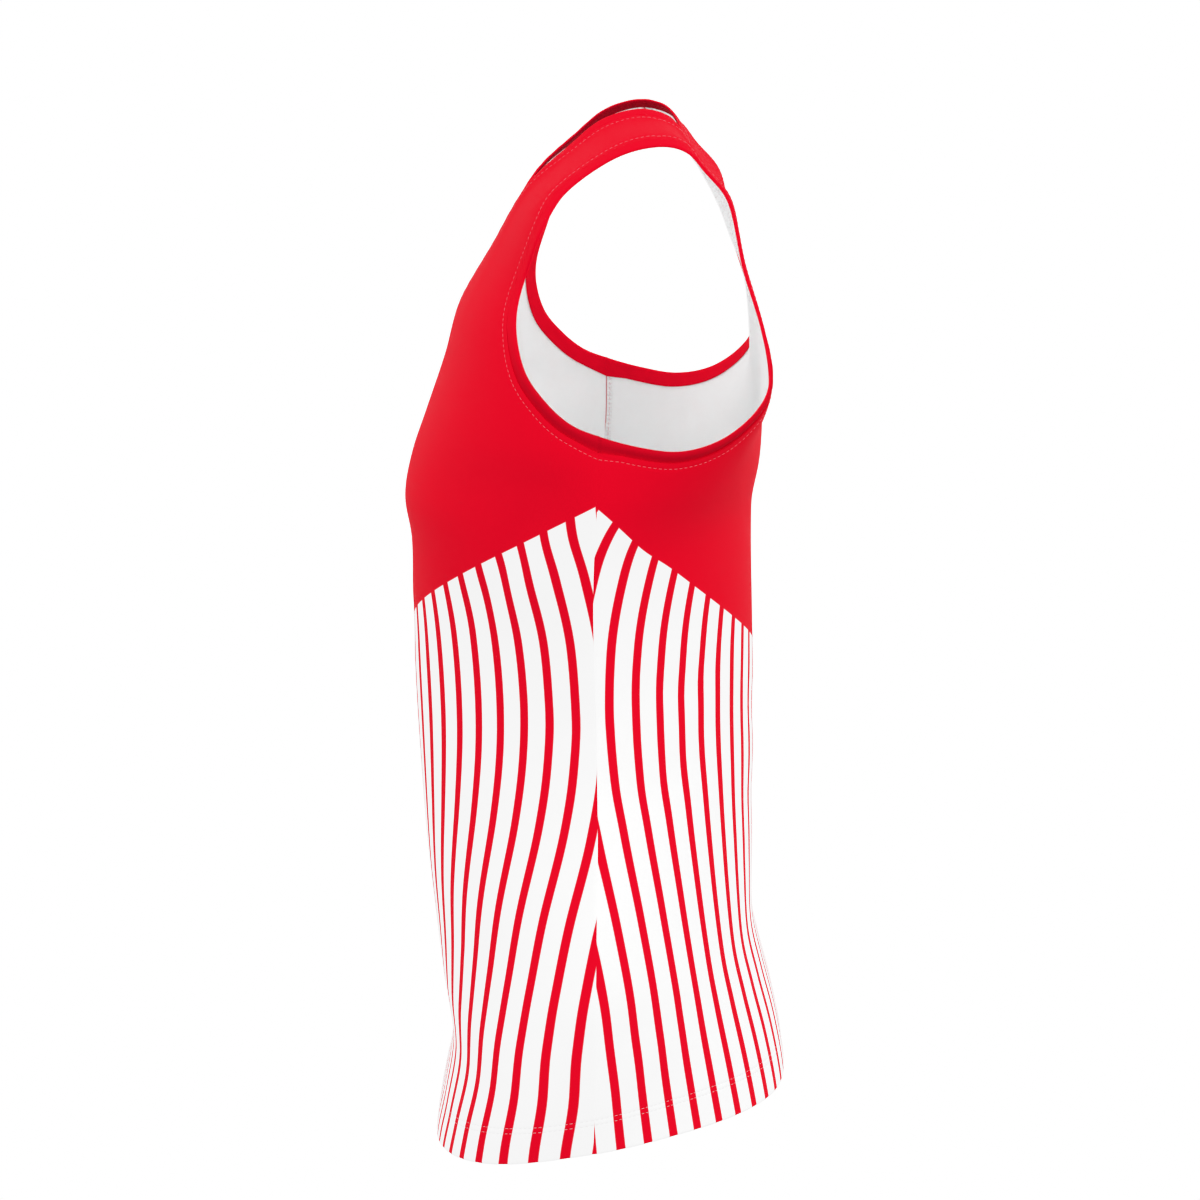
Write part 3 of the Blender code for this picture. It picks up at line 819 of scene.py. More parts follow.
class Nodes:
    """One material under construction."""

    def __init__(self, name: str, roughness: float = 0.75, sheen: float = 0.0,
                 specular: float = 0.02) -> None:
        """Starts a material with the settings that are the same all over it.

        Args:
            name: Its name.
            roughness: Its roughness.
            sheen: Its sheen weight.
            specular: Its specular level.
        """
        self.material = bpy.data.materials.new(name)
        self.material.use_nodes = True
        self.tree = self.material.node_tree
        self.shader = self.tree.nodes["Principled BSDF"]
        settings = {"Roughness": roughness, "Sheen Weight": sheen, "Sheen Roughness": 0.45,
                    "Specular IOR Level": specular}
        for socket, value in settings.items():
            self.shader.inputs[socket].default_value = value

    def node(self, kind: str, settings: dict[str, object], inputs: dict[object, object]) -> bpy.types.Node:
        """Adds a node.

        Args:
            kind: The node's type.
            settings: Its own settings, set first.
            inputs: A value, a signal or a socket for each input.

        Returns:
            The node.
        """
        made = self.tree.nodes.new(kind)
        for key, value in settings.items():
            setattr(made, key, value)
        for key, value in inputs.items():
            self.feed(made.inputs[key], value)
        return made

    def feed(self, socket: bpy.types.NodeSocket, value: object) -> None:
        """Links a signal or socket to an input, or sets the input's value.

        Args:
            socket: The input.
            value: A signal or a socket to link, or a number or colour to set.
        """
        if isinstance(value, Signal):
            value = value.socket
        if isinstance(value, bpy.types.NodeSocket):
            self.tree.links.new(value, socket)
        elif socket.type == "RGBA" and len(value) == 3:
            socket.default_value = (*value, 1.0)
        else:
            socket.default_value = value

    def math(self, operation: str, *values: object) -> Signal:
        """The result of a Math node on signals and numbers."""
        made = self.node("ShaderNodeMath", {"operation": operation}, dict(enumerate(values)))
        return Signal(self, made.outputs[0])

    def mark(self, name: str) -> tuple[Signal, Signal, Signal]:
        """Reads the three numbers that a mesh carries under a name.

        Args:
            name: The name.

        Returns:
            The three as signals.
        """
        read = self.node("ShaderNodeAttribute", {"attribute_name": name}, {})
        split = self.node("ShaderNodeSeparateXYZ", {}, {0: read.outputs["Vector"]})
        return tuple(Signal(self, out) for out in split.outputs)

    def noise(self, scale: float, detail: float = 2.0) -> Signal:
        """Makes soft noise around 0.5 that is fixed to the piece.

        Args:
            scale: How many patches there are in about a metre.
            detail: How many finer layers it has.

        Returns:
            The noise.
        """
        place = self.node("ShaderNodeTexCoord", {}, {})
        made = self.node("ShaderNodeTexNoise", {}, {
            "Vector": place.outputs["Object"], "Scale": scale, "Detail": detail})
        return Signal(self, made.outputs["Fac"])

    def blend(self, share: object, low: object, high: object, mode: str = "MIX") -> bpy.types.NodeSocket:
        """A colour between two others, or another blend of them."""
        settings = {"data_type": "RGBA", "blend_type": mode}
        return self.node("ShaderNodeMix", settings, {0: share, 6: low, 7: high}).outputs[2]

    def shade(self, colour: object, amount: Signal) -> bpy.types.NodeSocket:
        """A colour, darker or lighter by a factor that changes over the surface."""
        grey = self.node("ShaderNodeCombineColor", {}, {0: amount, 1: amount, 2: amount})
        return self.blend(1.0, colour, grey.outputs[0], "MULTIPLY")

    def knit(self, across: Signal, along: Signal, cloth: "Gauge") -> Signal:
        """The height of a plain knit, columns of small Vs: 0 in the grooves and up to 1 on the loops.

        Args:
            across: Metres across the columns.
            along: Metres along them.
            cloth: The size of its loops.

        Returns:
            The height.
        """
        side = abs((across / cloth.wale).use("FRACT") - 0.5)
        column = (side * math.pi).use("SINE")
        lean = (along / cloth.course + side * cloth.lean) * (2 * math.pi)
        return column * 0.65 + (lean.use("SINE") * 0.5 + 0.5) * 0.35

    def finish(self, colour: object, height: Signal, depth: float,
               roughness: Signal | None = None) -> bpy.types.Material:
        """Connects the shader.

        Args:
            colour: The base colour.
            height: The bump's height.
            depth: How many metres one unit of height is.
            roughness: The roughness, where it changes over the surface.

        Returns:
            The finished material.
        """
        self.feed(self.shader.inputs["Base Color"], colour)
        if roughness is not None:
            self.feed(self.shader.inputs["Roughness"], roughness)
        bump = self.node("ShaderNodeBump", {}, {"Strength": 1.0, "Distance": depth, "Height": height})
        self.feed(self.shader.inputs["Normal"], bump.outputs[0])
        return self.material


@dataclass(frozen=True)
class Gauge:
    """The size of a knit's loops: the width of a column, the height of a loop and the slant of its legs."""

    wale: float = 0.00085
    course: float = 0.00070
    lean: float = 1.1


@dataclass(frozen=True)
class KnitColours:
    """The colours of the jersey's cloth and threads, as linear colour: dyes, with lighter and darker copies
    of them painted as light and shade.
    """

    red: Colour = (0.632, 0.0015, 0.0165)
    # painted light: a lighter copy of the red for the armhole bindings' inner layer, which lies in shade
    red_inside_painted_light: Colour = (0.860, 0.0030, 0.0240)
    # painted shade: a darker copy of the red for the neck binding's inner layer
    red_shaded: Colour = (0.360, 0.0012, 0.0110)
    white: Colour = (0.930, 0.932, 0.930)
    # painted light: a lighter copy of the white for the cloth's inner face and seam allowances, which lie in
    # shade
    inner: Colour = (0.960, 0.985, 0.985)
    thread_pale: Colour = (0.800, 0.220, 0.270)
    # white thread painted grey: partly painted shade for the shade along the stitches on the white cloth
    thread_white: Colour = (0.660, 0.640, 0.650)
    thread_pink: Colour = (0.800, 0.160, 0.220)


@dataclass(frozen=True)
class StripedKnit:
    """Smooth white jersey knit with a printed red yoke and red stripes on its outer face.

    The mesh carries `print` (metres round from the centre line, metres over the yoke's lower edge,
    1 on the inner face), `knit` (metres round, metres up) and `seams` (metres from the opening's
    topstitching, from the middle of the hem's stitching, and from the side seam).
    """

    phase: float  # 0.0 puts a gap on the centre line, 0.5 a stripe
    colours: KnitColours = KnitColours()
    pitch: float = 0.01846
    stripe: float = 0.335  # of the pitch
    soft: float = 0.0006
    gauge: Gauge = Gauge()
    needle_gap: float = 0.0032  # between the hem's two needle rows
    stitch_groove: float = 0.0010  # how far from the topstitching the cloth is drawn down
    needle_groove: float = 0.0008  # and from the hem's rows and the side seam
    turn_edge: float = 0.0014  # how wide the step is where the hem's turning ends
    relief: float = 0.00045  # how high one unit of the bump is

    def material(self, name: str) -> bpy.types.Material:
        """Makes the finish as a material.

        Args:
            name: The material's name.

        Returns:
            The material.
        """
        make = Nodes(name)
        round_, above, inner = make.mark("print")
        across, along, _ = make.mark("knit")
        stitch, hem, seam = make.mark("seams")
        from_stripe = abs((round_ / self.pitch + self.phase).use("FRACT") - 0.5) * self.pitch
        stripes = ((self.stripe * self.pitch / 2 - from_stripe) / self.soft + 0.5).held()
        yoke = (above / self.soft + 0.5).held()
        dyed = stripes.use("MAXIMUM", yoke) * (1 - inner)
        loops = make.knit(across, along, self.gauge)
        blotch = make.noise(9.0, 3.0)
        fine = make.noise(160.0, 2.0)
        # the inner face takes the lighter white, painted light
        white = make.blend(inner, self.colours.white, self.colours.inner)
        colour = make.blend(dyed, white, self.colours.red)
        # random tone from blotches and fuzz, and painted shade in the knit's grooves, where the loops' height
        # is low
        colour = make.shade(colour, 0.955 + blotch * 0.04 + fine * 0.02 + loops * 0.022)
        rows = abs(hem) - self.needle_gap / 2
        sewn = stitch.bell(self.stitch_groove) * 0.45 + rows.bell(self.needle_groove) * 0.4
        sewn = sewn + seam.bell(self.needle_groove) * 0.2
        turned = (hem / self.turn_edge + 0.5).held()
        height = loops * 0.14 + blotch * 0.4 - sewn * 0.8 - turned * 0.15 + fine * 0.08
        return make.finish(colour, height, self.relief, 0.68 + loops * 0.06 - dyed * 0.04)


@dataclass(frozen=True)
class BindingKnit:
    """Red jersey knit, folded lengthwise.

    The mesh carries `knit`: metres along, metres across, and a third number: 1 on the inner layer, and on the
    outer layer 0 down to -1, a painted shade where it rolls in under the arm.
    """

    # the colour of the inner layer: a copy of the red, lighter as painted light on the armholes and darker as
    # painted shade on the neck
    inside: Colour
    colours: KnitColours = KnitColours()
    gauge: Gauge = Gauge()
    painted_roll_shade: float = 0.24  # how much darker it is painted where it rolls in under the arm, as painted shade
    relief: float = 0.0004

    def material(self, name: str) -> bpy.types.Material:
        """Makes the finish as a material.

        Args:
            name: The material's name.

        Returns:
            The material.
        """
        make = Nodes(name)
        along, across, inside = make.mark("knit")
        loops = make.knit(along, across, self.gauge)
        blotch = make.noise(40.0, 3.0)
        fine = make.noise(200.0, 2.0)
        dye = make.blend(inside.held(), self.colours.red, self.inside)
        # painted shade: darker where the strip rolls in under the arm
        shaded = (inside * -1.0).held() * self.painted_roll_shade
        # random tone from blotches, painted shade in the knit's grooves, and the roll's painted shade
        colour = make.shade(dye, 0.94 + blotch * 0.06 + loops * 0.03 - shaded)
        height = loops * 0.16 + blotch * 0.8 + fine * 0.15
        return make.finish(colour, height, self.relief, 0.66 + loops * 0.06)


@dataclass(frozen=True)
class InnerKnit:
    """The undyed wrong side of the cloth on a seam allowance, with its overlock thread.

    The mesh carries `knit`: metres along and metres across.
    """

    colours: KnitColours = KnitColours()
    gauge: Gauge = Gauge()
    thread_pitch: float = 0.0027
    thread_width: float = 0.16  # of the pitch
    relief: float = 0.0003

    def material(self, name: str) -> bpy.types.Material:
        """Makes the finish as a material.

        Args:
            name: The material's name.

        Returns:
            The material.
        """
        make = Nodes(name)
        along, across, _ = make.mark("knit")
        loops = make.knit(across, along, self.gauge)
        thread = ((along / self.thread_pitch).use("FRACT") - 0.5).bell(self.thread_width)
        # the allowance takes the inner face's lighter white, painted light, tinted by its thread
        tint = make.blend(thread * 0.06, self.colours.inner, self.colours.thread_pink)
        # painted shade in the knit's grooves, where the loops' height is low
        colour = make.shade(tint, 0.94 + loops * 0.05)
        return make.finish(colour, loops * 0.3 + thread, self.relief, 0.64 + loops * 0.04)


@dataclass(frozen=True)
class SewingThread:
    """Spun polyester thread. The mesh carries `thread` (metres along the stitch, turn round it)."""

    colour: Colour
    ply: float = 0.0006  # from one turn of the yarn to the next
    relief: float = 0.00006

    def material(self, name: str) -> bpy.types.Material:
        """Makes the finish as a material.

        Args:
            name: The material's name.

        Returns:
            The material.
        """
        make = Nodes(name, roughness=0.55, sheen=0.05, specular=0.20)
        along, turn, _ = make.mark("thread")
        plies = ((along / self.ply + turn) * (2 * math.pi)).use("SINE") * 0.5 + 0.5
        # painted shade between the plies of the yarn
        colour = make.shade(self.colour, 0.90 + plies * 0.10)
        return make.finish(colour, plies, self.relief, 0.52 + plies * 0.06)


@dataclass(frozen=True)
class StudioFloor:
    """Pale matte studio floor."""

    colour: Colour = (0.45, 0.45, 0.45)
    relief: float = 0.0004

    def material(self, name: str) -> bpy.types.Material:
        """Makes the finish as a material.

        Args:
            name: The material's name.

        Returns:
            The material.
        """
        make = Nodes(name, roughness=0.85, specular=0.2)
        speckle = make.noise(6.0, 4.0)
        return make.finish(make.shade(self.colour, 0.985 + speckle * 0.03), speckle, self.relief)


# ---------------------------------------------------------------- pieces of the jersey


@dataclass
class Panel:
    """One panel of the jersey, hem to shoulders, as a thin shell with a turned-up hem."""

    name: str
    side: Side
    drape: Drape
    finish: StripedKnit
    yoke: tuple[float, float, float]  # the yoke's lower edge: z by powers of the distance from the side seam
    yoke_waves: tuple  # where that edge wavers: distance from the side seam, reach, rise
    neck_knee: float  # the share of the neck's edge that belongs to the body, under the strap
    arm_knee: float  # and of the armhole's
    cloth: float = 0.0014
    hem_turn: float = 0.022
    hem_layer: float = 0.0010
    hem_stitching: float = 0.0210  # middle of the double row, over the edge
    tuck: float = 0.0069  # where the cloth ends under a binding, from the free edge
    hem_step: tuple[float, float] = (-0.0006, 0.0010)  # the turning ends between these, round its depth
    seam_dip: float = 0.00012
    seam_reach: float = 0.0016
    shoulder_dip: float = 0.00025
    shoulder_reach: float = 0.0010
    row_rise: float = 0.005  # about how far apart the loft's rows are at the shoulder
    neck_columns: int = 18
    chest_columns: int = 22
    side_columns: int = 34
    seam_columns: tuple = (0.0, 0.0022, 0.005, 0.0085, 0.0130, 0.0190, 0.0270)  # the first of them
    strap_lines: int = 46
    strap_ease: float = 0.92  # the strap's lines draw together towards the shoulder
    body_lines: int = 112
    body_ease: float = 0.10  # and the body's lines towards the openings
    hem_lines: tuple = (0.0, 0.00012, 0.0004, 0.0008, 0.0013, 0.0024, 0.0045, 0.0075, 0.0110, 0.0145,
                        0.0175, 0.0192, 0.0205, 0.0214, 0.0222, 0.0232, 0.0246, 0.0265)

    def shares(self, knee: float, columns: int, first_steps: tuple = ()) -> Array:
        """Where the vertices lie along an opening's edge: body columns, then strap lines.

        Args:
            knee: The share of the edge that belongs to the body.
            columns: How many body columns it has.
            first_steps: Places of the first columns, where they are closer together.

        Returns:
            Shares of the edge's length.
        """
        start = list(first_steps) or [0.0]
        below = start[:-1] + list(np.linspace(start[-1], knee, columns + 2 - len(start)))
        above = knee + (1 - knee) * np.linspace(0, 1, self.strap_lines + 1)[1:] ** self.strap_ease
        return np.concatenate([below, above])

    def blocks(self) -> tuple[tuple, tuple]:
        """Lays out the left half's vertices on the loft.

        Returns:
            The t and r of the body, hem upwards, and those of the strap above it.
        """
        loft, side = self.drape.loft, self.side
        neck, arm = (self.at_shares(loft.line(edge, side, self.tuck), shares) for edge, shares in (
            (Edge.NECK, self.shares(self.neck_knee, self.neck_columns)),
            (Edge.ARMHOLE, self.shares(self.arm_knee, self.side_columns, self.seam_columns))))
        part = np.linspace(0, 1, self.chest_columns + 1)
        strap = tuple(
            a[self.neck_columns:, None] * (1 - part) + b[self.side_columns:, None] * part
            for a, b in zip(neck, arm)
        )
        top_t, top_r = (
            np.concatenate([a[:self.neck_columns], s[0], b[:self.side_columns][::-1]])
            for a, s, b in zip(neck, strap, arm)
        )
        hem = [loft.hem_t(side, top_r, up) for up in self.hem_lines]
        rise = np.linspace(0, 1, self.body_lines)[1:, None]
        rise = rise + self.body_ease * np.sin(np.pi * rise) * rise
        lines = np.vstack([hem, hem[-1] + rise * (top_t - hem[-1])])
        return (lines, np.tile(top_r, (len(lines), 1))), strap

    @staticmethod
    def at_shares(line: Line, shares: Array) -> Line:
        """(t, r) at shares of a line's length."""
        count = np.linspace(0, 1, len(line[0]))
        return np.interp(shares, count, line[0]), np.interp(shares, count, line[1])

    def marks(self, hand: Hand, points: Array, t: Array, r: Array) -> dict[str, Array]:
        """What the finish reads at each vertex of one half's outer face.

        Args:
            hand: The half.
            points: Its points.
            t: Their row counts.
            r: Their shares of the way round.

        Returns:
            The marks by name.
        """
        loft = self.drape.loft
        girth = loft.half_girth(self.side, t)
        round_, from_seam = r * girth, (1 - r) * girth
        yoke = sum(factor * from_seam**power for power, factor in enumerate(self.yoke))
        for place, reach, rise in self.yoke_waves:
            yoke = yoke + rise * np.exp(-(((from_seam - place) / reach) ** 2))
        level = loft.section(self.side, t)[:, 0]
        from_hem = level - loft.section(self.side, loft.hem_t(self.side, r))[:, 0]
        to_neck, to_arm = (
            gap_to_line(points, loft.surface(self.side, *loft.line(edge, self.side)) * (hand.value, 1, 1))
            - TOPSTITCH[edge] for edge in Edge)
        stitch = np.where(np.abs(to_neck) < np.abs(to_arm), to_neck, to_arm)
        nothing = np.zeros(len(t))
        return {
            "print": np.stack([round_, points[:, 2] - yoke, nothing], axis=1),
            "knit": np.stack([round_, level, nothing], axis=1),
            "seams": np.stack([stitch, from_hem - self.hem_stitching, from_seam], axis=1),
        }

    def shell(self, hand: Hand, t: Array, r: Array) -> tuple[Array, Array, dict]:
        """Outer and inner points of one block of one half, and their marks.

        Args:
            hand: The half.
            t: The block's row counts.
            r: Its shares of the way round.

        Returns:
            Outer points, inner points and the outer face's marks, each a row a vertex.
        """
        loft = self.drape.loft
        points, out = (a.reshape(-1, 3) for a in self.drape.lay(self.side, hand, t, r))
        t, r = t.ravel(), r.ravel()
        marks = self.marks(hand, points, t, r)
        from_hem = marks["seams"][:, 1] + self.hem_stitching
        from_seam = marks["seams"][:, 2]
        to_shoulder = (loft.top(self.side) - t) * self.row_rise
        thick = self.cloth + self.hem_layer * (1 - smooth(from_hem - self.hem_turn, *self.hem_step))
        dip = self.seam_dip * np.exp(-((from_seam / self.seam_reach) ** 2))
        dip += self.shoulder_dip * np.exp(-((to_shoulder / self.shoulder_reach) ** 2))
        roll = thick / 2
        near = np.clip(1 - from_hem / roll, 0, 1)
        fold = roll * (1 - np.sqrt(1 - near**2))
        outer = points - out * (fold + dip)[:, None]
        inner = points - out * (thick - fold)[:, None]
        return outer, inner, marks

    def build(self) -> bpy.types.Object:
        """Makes the panel and dresses it.

        Returns:
            The dressed piece.
        """
        body, strap = self.blocks()
        knees = slice(self.neck_columns, self.neck_columns + self.chest_columns + 1)
        outer, inner, marks, quads, count = [], [], [], [], 0

        def add(hand: Hand, t: Array, r: Array) -> Array:
            """Adds a block's vertices.

            Args:
                hand: The half.
                t: The block's row counts.
                r: Its shares of the way round.

            Returns:
                The vertices' numbers, in the block's grid.
            """
            nonlocal count
            out_points, in_points, found = self.shell(hand, t, r)
            outer.append(out_points)
            inner.append(in_points)
            marks.append(found)
            numbers = count + np.arange(t.size).reshape(t.shape)
            count += t.size
            return numbers

        centre = None
        for hand in Hand:
            first = 0 if centre is None else 1
            numbers = add(hand, body[0][:, first:], body[1][:, first:])
            grid = numbers if centre is None else np.hstack([centre, numbers])
            centre = grid[:, :1] if centre is None else centre
            upper = np.vstack([grid[-1:, knees], add(hand, strap[0][1:], strap[1][1:])])
            flip = hand.value * self.side.value > 0
            quads += [grid_quads(grid, flip), grid_quads(upper, flip)]
        return self.close(np.vstack(outer), np.vstack(inner), marks, np.vstack(quads))

    def close(self, outer: Array, inner: Array, marks: list, quads: Array) -> bpy.types.Object:
        """Joins the two faces round their edges and makes the piece.

        Args:
            outer: The outer face's points.
            inner: The inner face's points.
            marks: The blocks' marks.
            quads: The outer face's quads.

        Returns:
            The dressed piece.
        """
        count = len(outer)
        joined = {key: np.vstack([block[key] for block in marks]) for key in marks[0]}
        both = {key: np.vstack([values, values]) for key, values in joined.items()}
        turned = joined["seams"][:, 1] < self.hem_turn - self.hem_stitching
        both["print"][count:, 2] = np.where(turned, 0.0, 1.0)
        both["seams"][count:, 0] = 1.0
        sides = np.stack([quads, np.roll(quads, -1, axis=1)], axis=-1).reshape(-1, 2)
        known = set(map(tuple, sides.tolist()))
        hem = joined["seams"][:, 1] < -self.hem_stitching + 1e-6
        rim = [(b, a, a + count, b + count) for a, b in known
               if (b, a) not in known and not (hem[a] and hem[b])]
        both["print"][[corner for face in rim for corner in face[2:]], 2] = 0.0
        faces = [*quads.tolist(), *(quads[:, ::-1] + count).tolist(), *rim]
        obj = build_mesh(f"{self.name}_cloth", np.vstack([outer, inner]), faces, both, weld=True)
        knit = self.finish.material(f"{self.name}_cloth_knit")
        return dress(obj, knit, f"{self.name}_panel")


@dataclass
class Binding:
    """The folded strip that finishes one opening."""

    name: str
    rings: dict  # the free, sewn and facing edges, each as the (points, outward) of the whole closed ring
    finish: BindingKnit
    slot: str
    replaces: str
    roll_and_painted_shade: float  # how much the strip rolls into its seam where it hangs lowest, and how much painted shade it gets there
    stations: int
    # millimetres from the free edge, and over the cloth's outer face, once round the section
    section: tuple = (
        (0.00, -0.90), (0.05, -0.50), (0.26, -0.20), (0.70, -0.02), (1.50, 0.06), (2.60, 0.07),
        (3.60, 0.07), (4.60, 0.07), (5.50, 0.07), (6.30, 0.06), (6.80, 0.01), (7.00, -0.30),
        (7.05, -1.48), (8.20, -1.50), (9.40, -1.52), (9.95, -1.60), (10.18, -1.80), (9.95, -2.02),
        (9.30, -2.12), (8.20, -2.14), (6.90, -2.14), (5.20, -2.10), (3.40, -2.08), (1.80, -2.02),
        (0.85, -1.85), (0.30, -1.56), (0.06, -1.22),
    )
    width: float = 7.3  # millimetres to the sewn edge
    facing: float = 10.2  # and to the inner layer's edge, which follows the facing ring
    inner_layer: float = -1.0  # the heights below it are seen from inside
    shade_fades: tuple[float, float] = (4.5, 7.3)  # the painted shade on the rolled strip halves between them
    roll_up: tuple[float, float, float] = (0.45, 0.2, 2.2)  # millimetres, growing between two reaches
    roll_down: tuple[float, float, float] = (1.55, 2.2, 7.0)
    hangs: tuple[float, float] = (0.105, 0.165)  # the roll and its painted shade grow between these depths under the shoulder
    outer_layer: tuple[float, float] = (-0.6, -0.1)  # between these heights the roll takes hold
    pucker: float = 0.00006
    pucker_pitch: float = 0.0105
    pucker_drift: tuple[float, int] = (1.3, 5)  # how far the puckers stray, in radians, and how often

    def build(self) -> bpy.types.Object:
        """Makes the strip and dresses it.

        Returns:
            The dressed piece.
        """
        free, out = self.rings["free"]
        sewn, _ = self.rings["sewn"]
        ring = np.hstack([free, sewn, out, *self.rings["facing"]])
        ring = even(np.vstack([ring, ring[:1]]), self.stations + 1)[:-1]
        free, sewn, out, inner, inner_out = np.split(ring, 5, axis=1)
        across = unit(sewn - free)
        out = unit(out - across * np.sum(out * across, axis=1, keepdims=True))
        length = lengths_along(np.vstack([free, free[:1]]))
        along, total = length[:-1, None], length[-1]
        waves = round(total / self.pucker_pitch)
        stray, often = self.pucker_drift
        drift = stray * np.sin(2 * np.pi * often * along / total)
        wave = np.sin(2 * np.pi * waves * along / total + drift)
        low = smooth(-free[:, 2:], *self.hangs) * self.roll_and_painted_shade
        round_ = lengths_along(np.pad(self.section, ((0, 0), (0, 1)))) * MM
        start, full = self.outer_layer
        points, marks = [], []
        for k, (reach, height) in enumerate(self.section):
            share = max(0.0, (reach - self.width) / (self.facing - self.width))
            base = sewn + (inner - sewn) * share if share else free + (sewn - free) * reach / self.width
            outer = float(np.clip((height - start) / (full - start), 0, 1))
            up, down = (part[0] * smooth(reach, *part[1:]) for part in (self.roll_up, self.roll_down))
            lift = height * MM + outer * ((up - down) * MM * low + self.pucker * wave)
            points.append(base + unit(out * (1 - share) + inner_out * share) * lift)
            # painted shade where the strip rolls in under the arm, halving towards its sewn edge
            shade = -low * (1 - 0.5 * smooth(reach, *self.shade_fades))
            inside = np.ones_like(along) if height < self.inner_layer else shade
            marks.append(np.hstack([along, np.full_like(along, round_[k]), inside]))
        corners = len(self.section)
        index = np.arange(corners * self.stations).reshape(corners, self.stations)
        index = np.vstack([index, index[:1]])
        index = np.hstack([index, index[:, :1]])
        faces = grid_quads(index, False).tolist()
        obj = build_mesh(self.name, np.vstack(points), faces, {"knit": np.vstack(marks)})
        return dress(obj, self.finish.material(self.name + "_knit"), self.replaces)


@dataclass
class Stitching:
    """A run of separate stitches along a line."""

    name: str
    points: Array
    outward: Array
    finish: SewingThread
    pitch: float = 0.0031
    gap: float = 0.0010
    radius: float = 0.00011
    rise: float = 0.00008
    sink: float = 0.00016
    lean: float = 0.0  # how far across the line each stitch reaches
    closed: bool = True
    samples: int = 8  # places read along the line for each stitch

    def build(self) -> bpy.types.Object:
        """Makes all the stitches as one piece and dresses them.

        Returns:
            The dressed piece.
        """
        line = np.hstack([self.points, self.outward])
        if self.closed:
            line = np.vstack([line, line[:1]])
        count = max(2, round(lengths_along(line)[-1] / self.pitch))
        fine = even(line, count * self.samples + 1)
        half = self.samples // 2
        middle, after = fine[half::self.samples], fine[half + 1::self.samples, :3]
        centre, out = middle[:, :3], unit(middle[:, 3:])
        run = unit(after - centre)
        across = np.cross(out, run)
        length = self.pitch - self.gap
        rings = ((0.0, -self.sink, 0.55), (0.14, 0.4 * self.rise, 0.95), (0.5, self.rise, 1.0),
                 (0.86, 0.4 * self.rise, 0.95), (1.0, -self.sink, 0.55))
        places, marks = [], []
        for at, up, girth in rings:
            spot = centre + run * (at - 0.5) * length + across * (at - 0.5) * 2 * self.lean + out * up
            for corner in range(4):
                angle = math.pi / 4 + corner * math.pi / 2
                outward = across * math.cos(angle) + out * math.sin(angle)
                places.append(spot + outward * girth * self.radius)
                marks.append(np.tile((at * length, corner / 4, 0), (count, 1)))
        points, marks = (np.stack(rows, axis=1).reshape(-1, 3) for rows in (places, marks))
        size = len(rings) * 4
        index = np.arange(size).reshape(-1, 4)
        one = grid_quads(np.hstack([index, index[:, :1]]), False).tolist()
        one += [(3, 2, 1, 0), tuple(range(size - 4, size))]
        faces = (np.arange(count)[:, None, None] * size + np.array(one)).reshape(-1, 4)
        obj = build_mesh(self.name, points, faces.tolist(), {"thread": marks})
        return dress(obj, self.finish.material(self.name + "_thread"))


@dataclass
class SeamAllowance:
    """The overlocked allowance that lies flat along the inside of a seam."""

    name: str
    points: Array
    outward: Array
    finish: InnerKnit = InnerKnit()
    width: float = 0.0036
    thick: float = 0.0005
    corners: int = 8
    step: float = 0.0016
    round_end: float = 0.002
    bulge: float = 0.20  # how much thicker it is under each overlock thread
    sway: tuple[float, float] = (0.06, 0.031)  # a slower swelling: how much, and how far to the next

    def build(self) -> bpy.types.Object:
        """Makes the allowance and dresses it.

        Returns:
            The dressed piece.
        """
        count = max(8, int(lengths_along(self.points)[-1] / self.step))
        line = even(np.hstack([self.points, self.outward]), count)
        spot, out = line[:, :3], unit(line[:, 3:])
        run = unit(np.gradient(spot, axis=0))
        across = unit(np.cross(out, run))
        along = lengths_along(line)[:, None]
        turns = 2 * np.pi * along
        much, pitch = self.sway
        swell = 1 + self.bulge * np.sin(turns / self.finish.thread_pitch) + much * np.sin(turns / pitch)
        from_end = np.minimum(np.minimum(along, along[::-1]) / self.round_end, 1)
        ends = np.sqrt(np.clip(1 - (1 - from_end) ** 2, 0.02, 1))
        points, marks = [], []
        for k in range(self.corners):
            turn = 2 * math.pi * (k + 0.5) / self.corners
            c, s = math.cos(turn), math.sin(turn)
            off = across * (c * self.width / 2 * ends) + out * (s * self.thick / 2 * swell * ends)
            points.append(spot + off)
            marks.append(np.hstack([along, np.full_like(along, c * self.width / 2), along * 0]))
        index = np.arange(self.corners * count).reshape(self.corners, count)
        index = np.vstack([index, index[:1]])
        faces = grid_quads(index, False).tolist()
        faces += [index[:-1, 0].tolist(), index[:-1, -1][::-1].tolist()]
        obj = build_mesh(self.name, np.vstack(points), faces, {"knit": np.vstack(marks)})
        return dress(obj, self.finish.material(self.name + "_cloth"))


# ---------------------------------------------------------------- the whole jersey


@dataclass(frozen=True)
class Opening:
    """An opening of the jersey and the strip that binds it."""

    edge: Edge
    hand: Hand | None  # an armhole's half, or None for the neck
    cut: float  # how long its binding is
    facing: float  # how far the binding's inner layer reaches from the free edge
    roll_and_painted_shade: float  # how much the binding rolls inwards where it hangs lowest, and how much painted shade it gets there
    stations: int
    # the colour of the binding's inner layer: a copy of the red, lighter as painted light on the armholes and
    # darker as painted shade on the neck
    inside: Colour

    def piece(self, kind: str) -> str:
        """The name of one of its pieces, such as armhole_binding_left."""
        return "_".join([self.edge.name, kind] + ([self.hand.name] if self.hand else [])).lower()


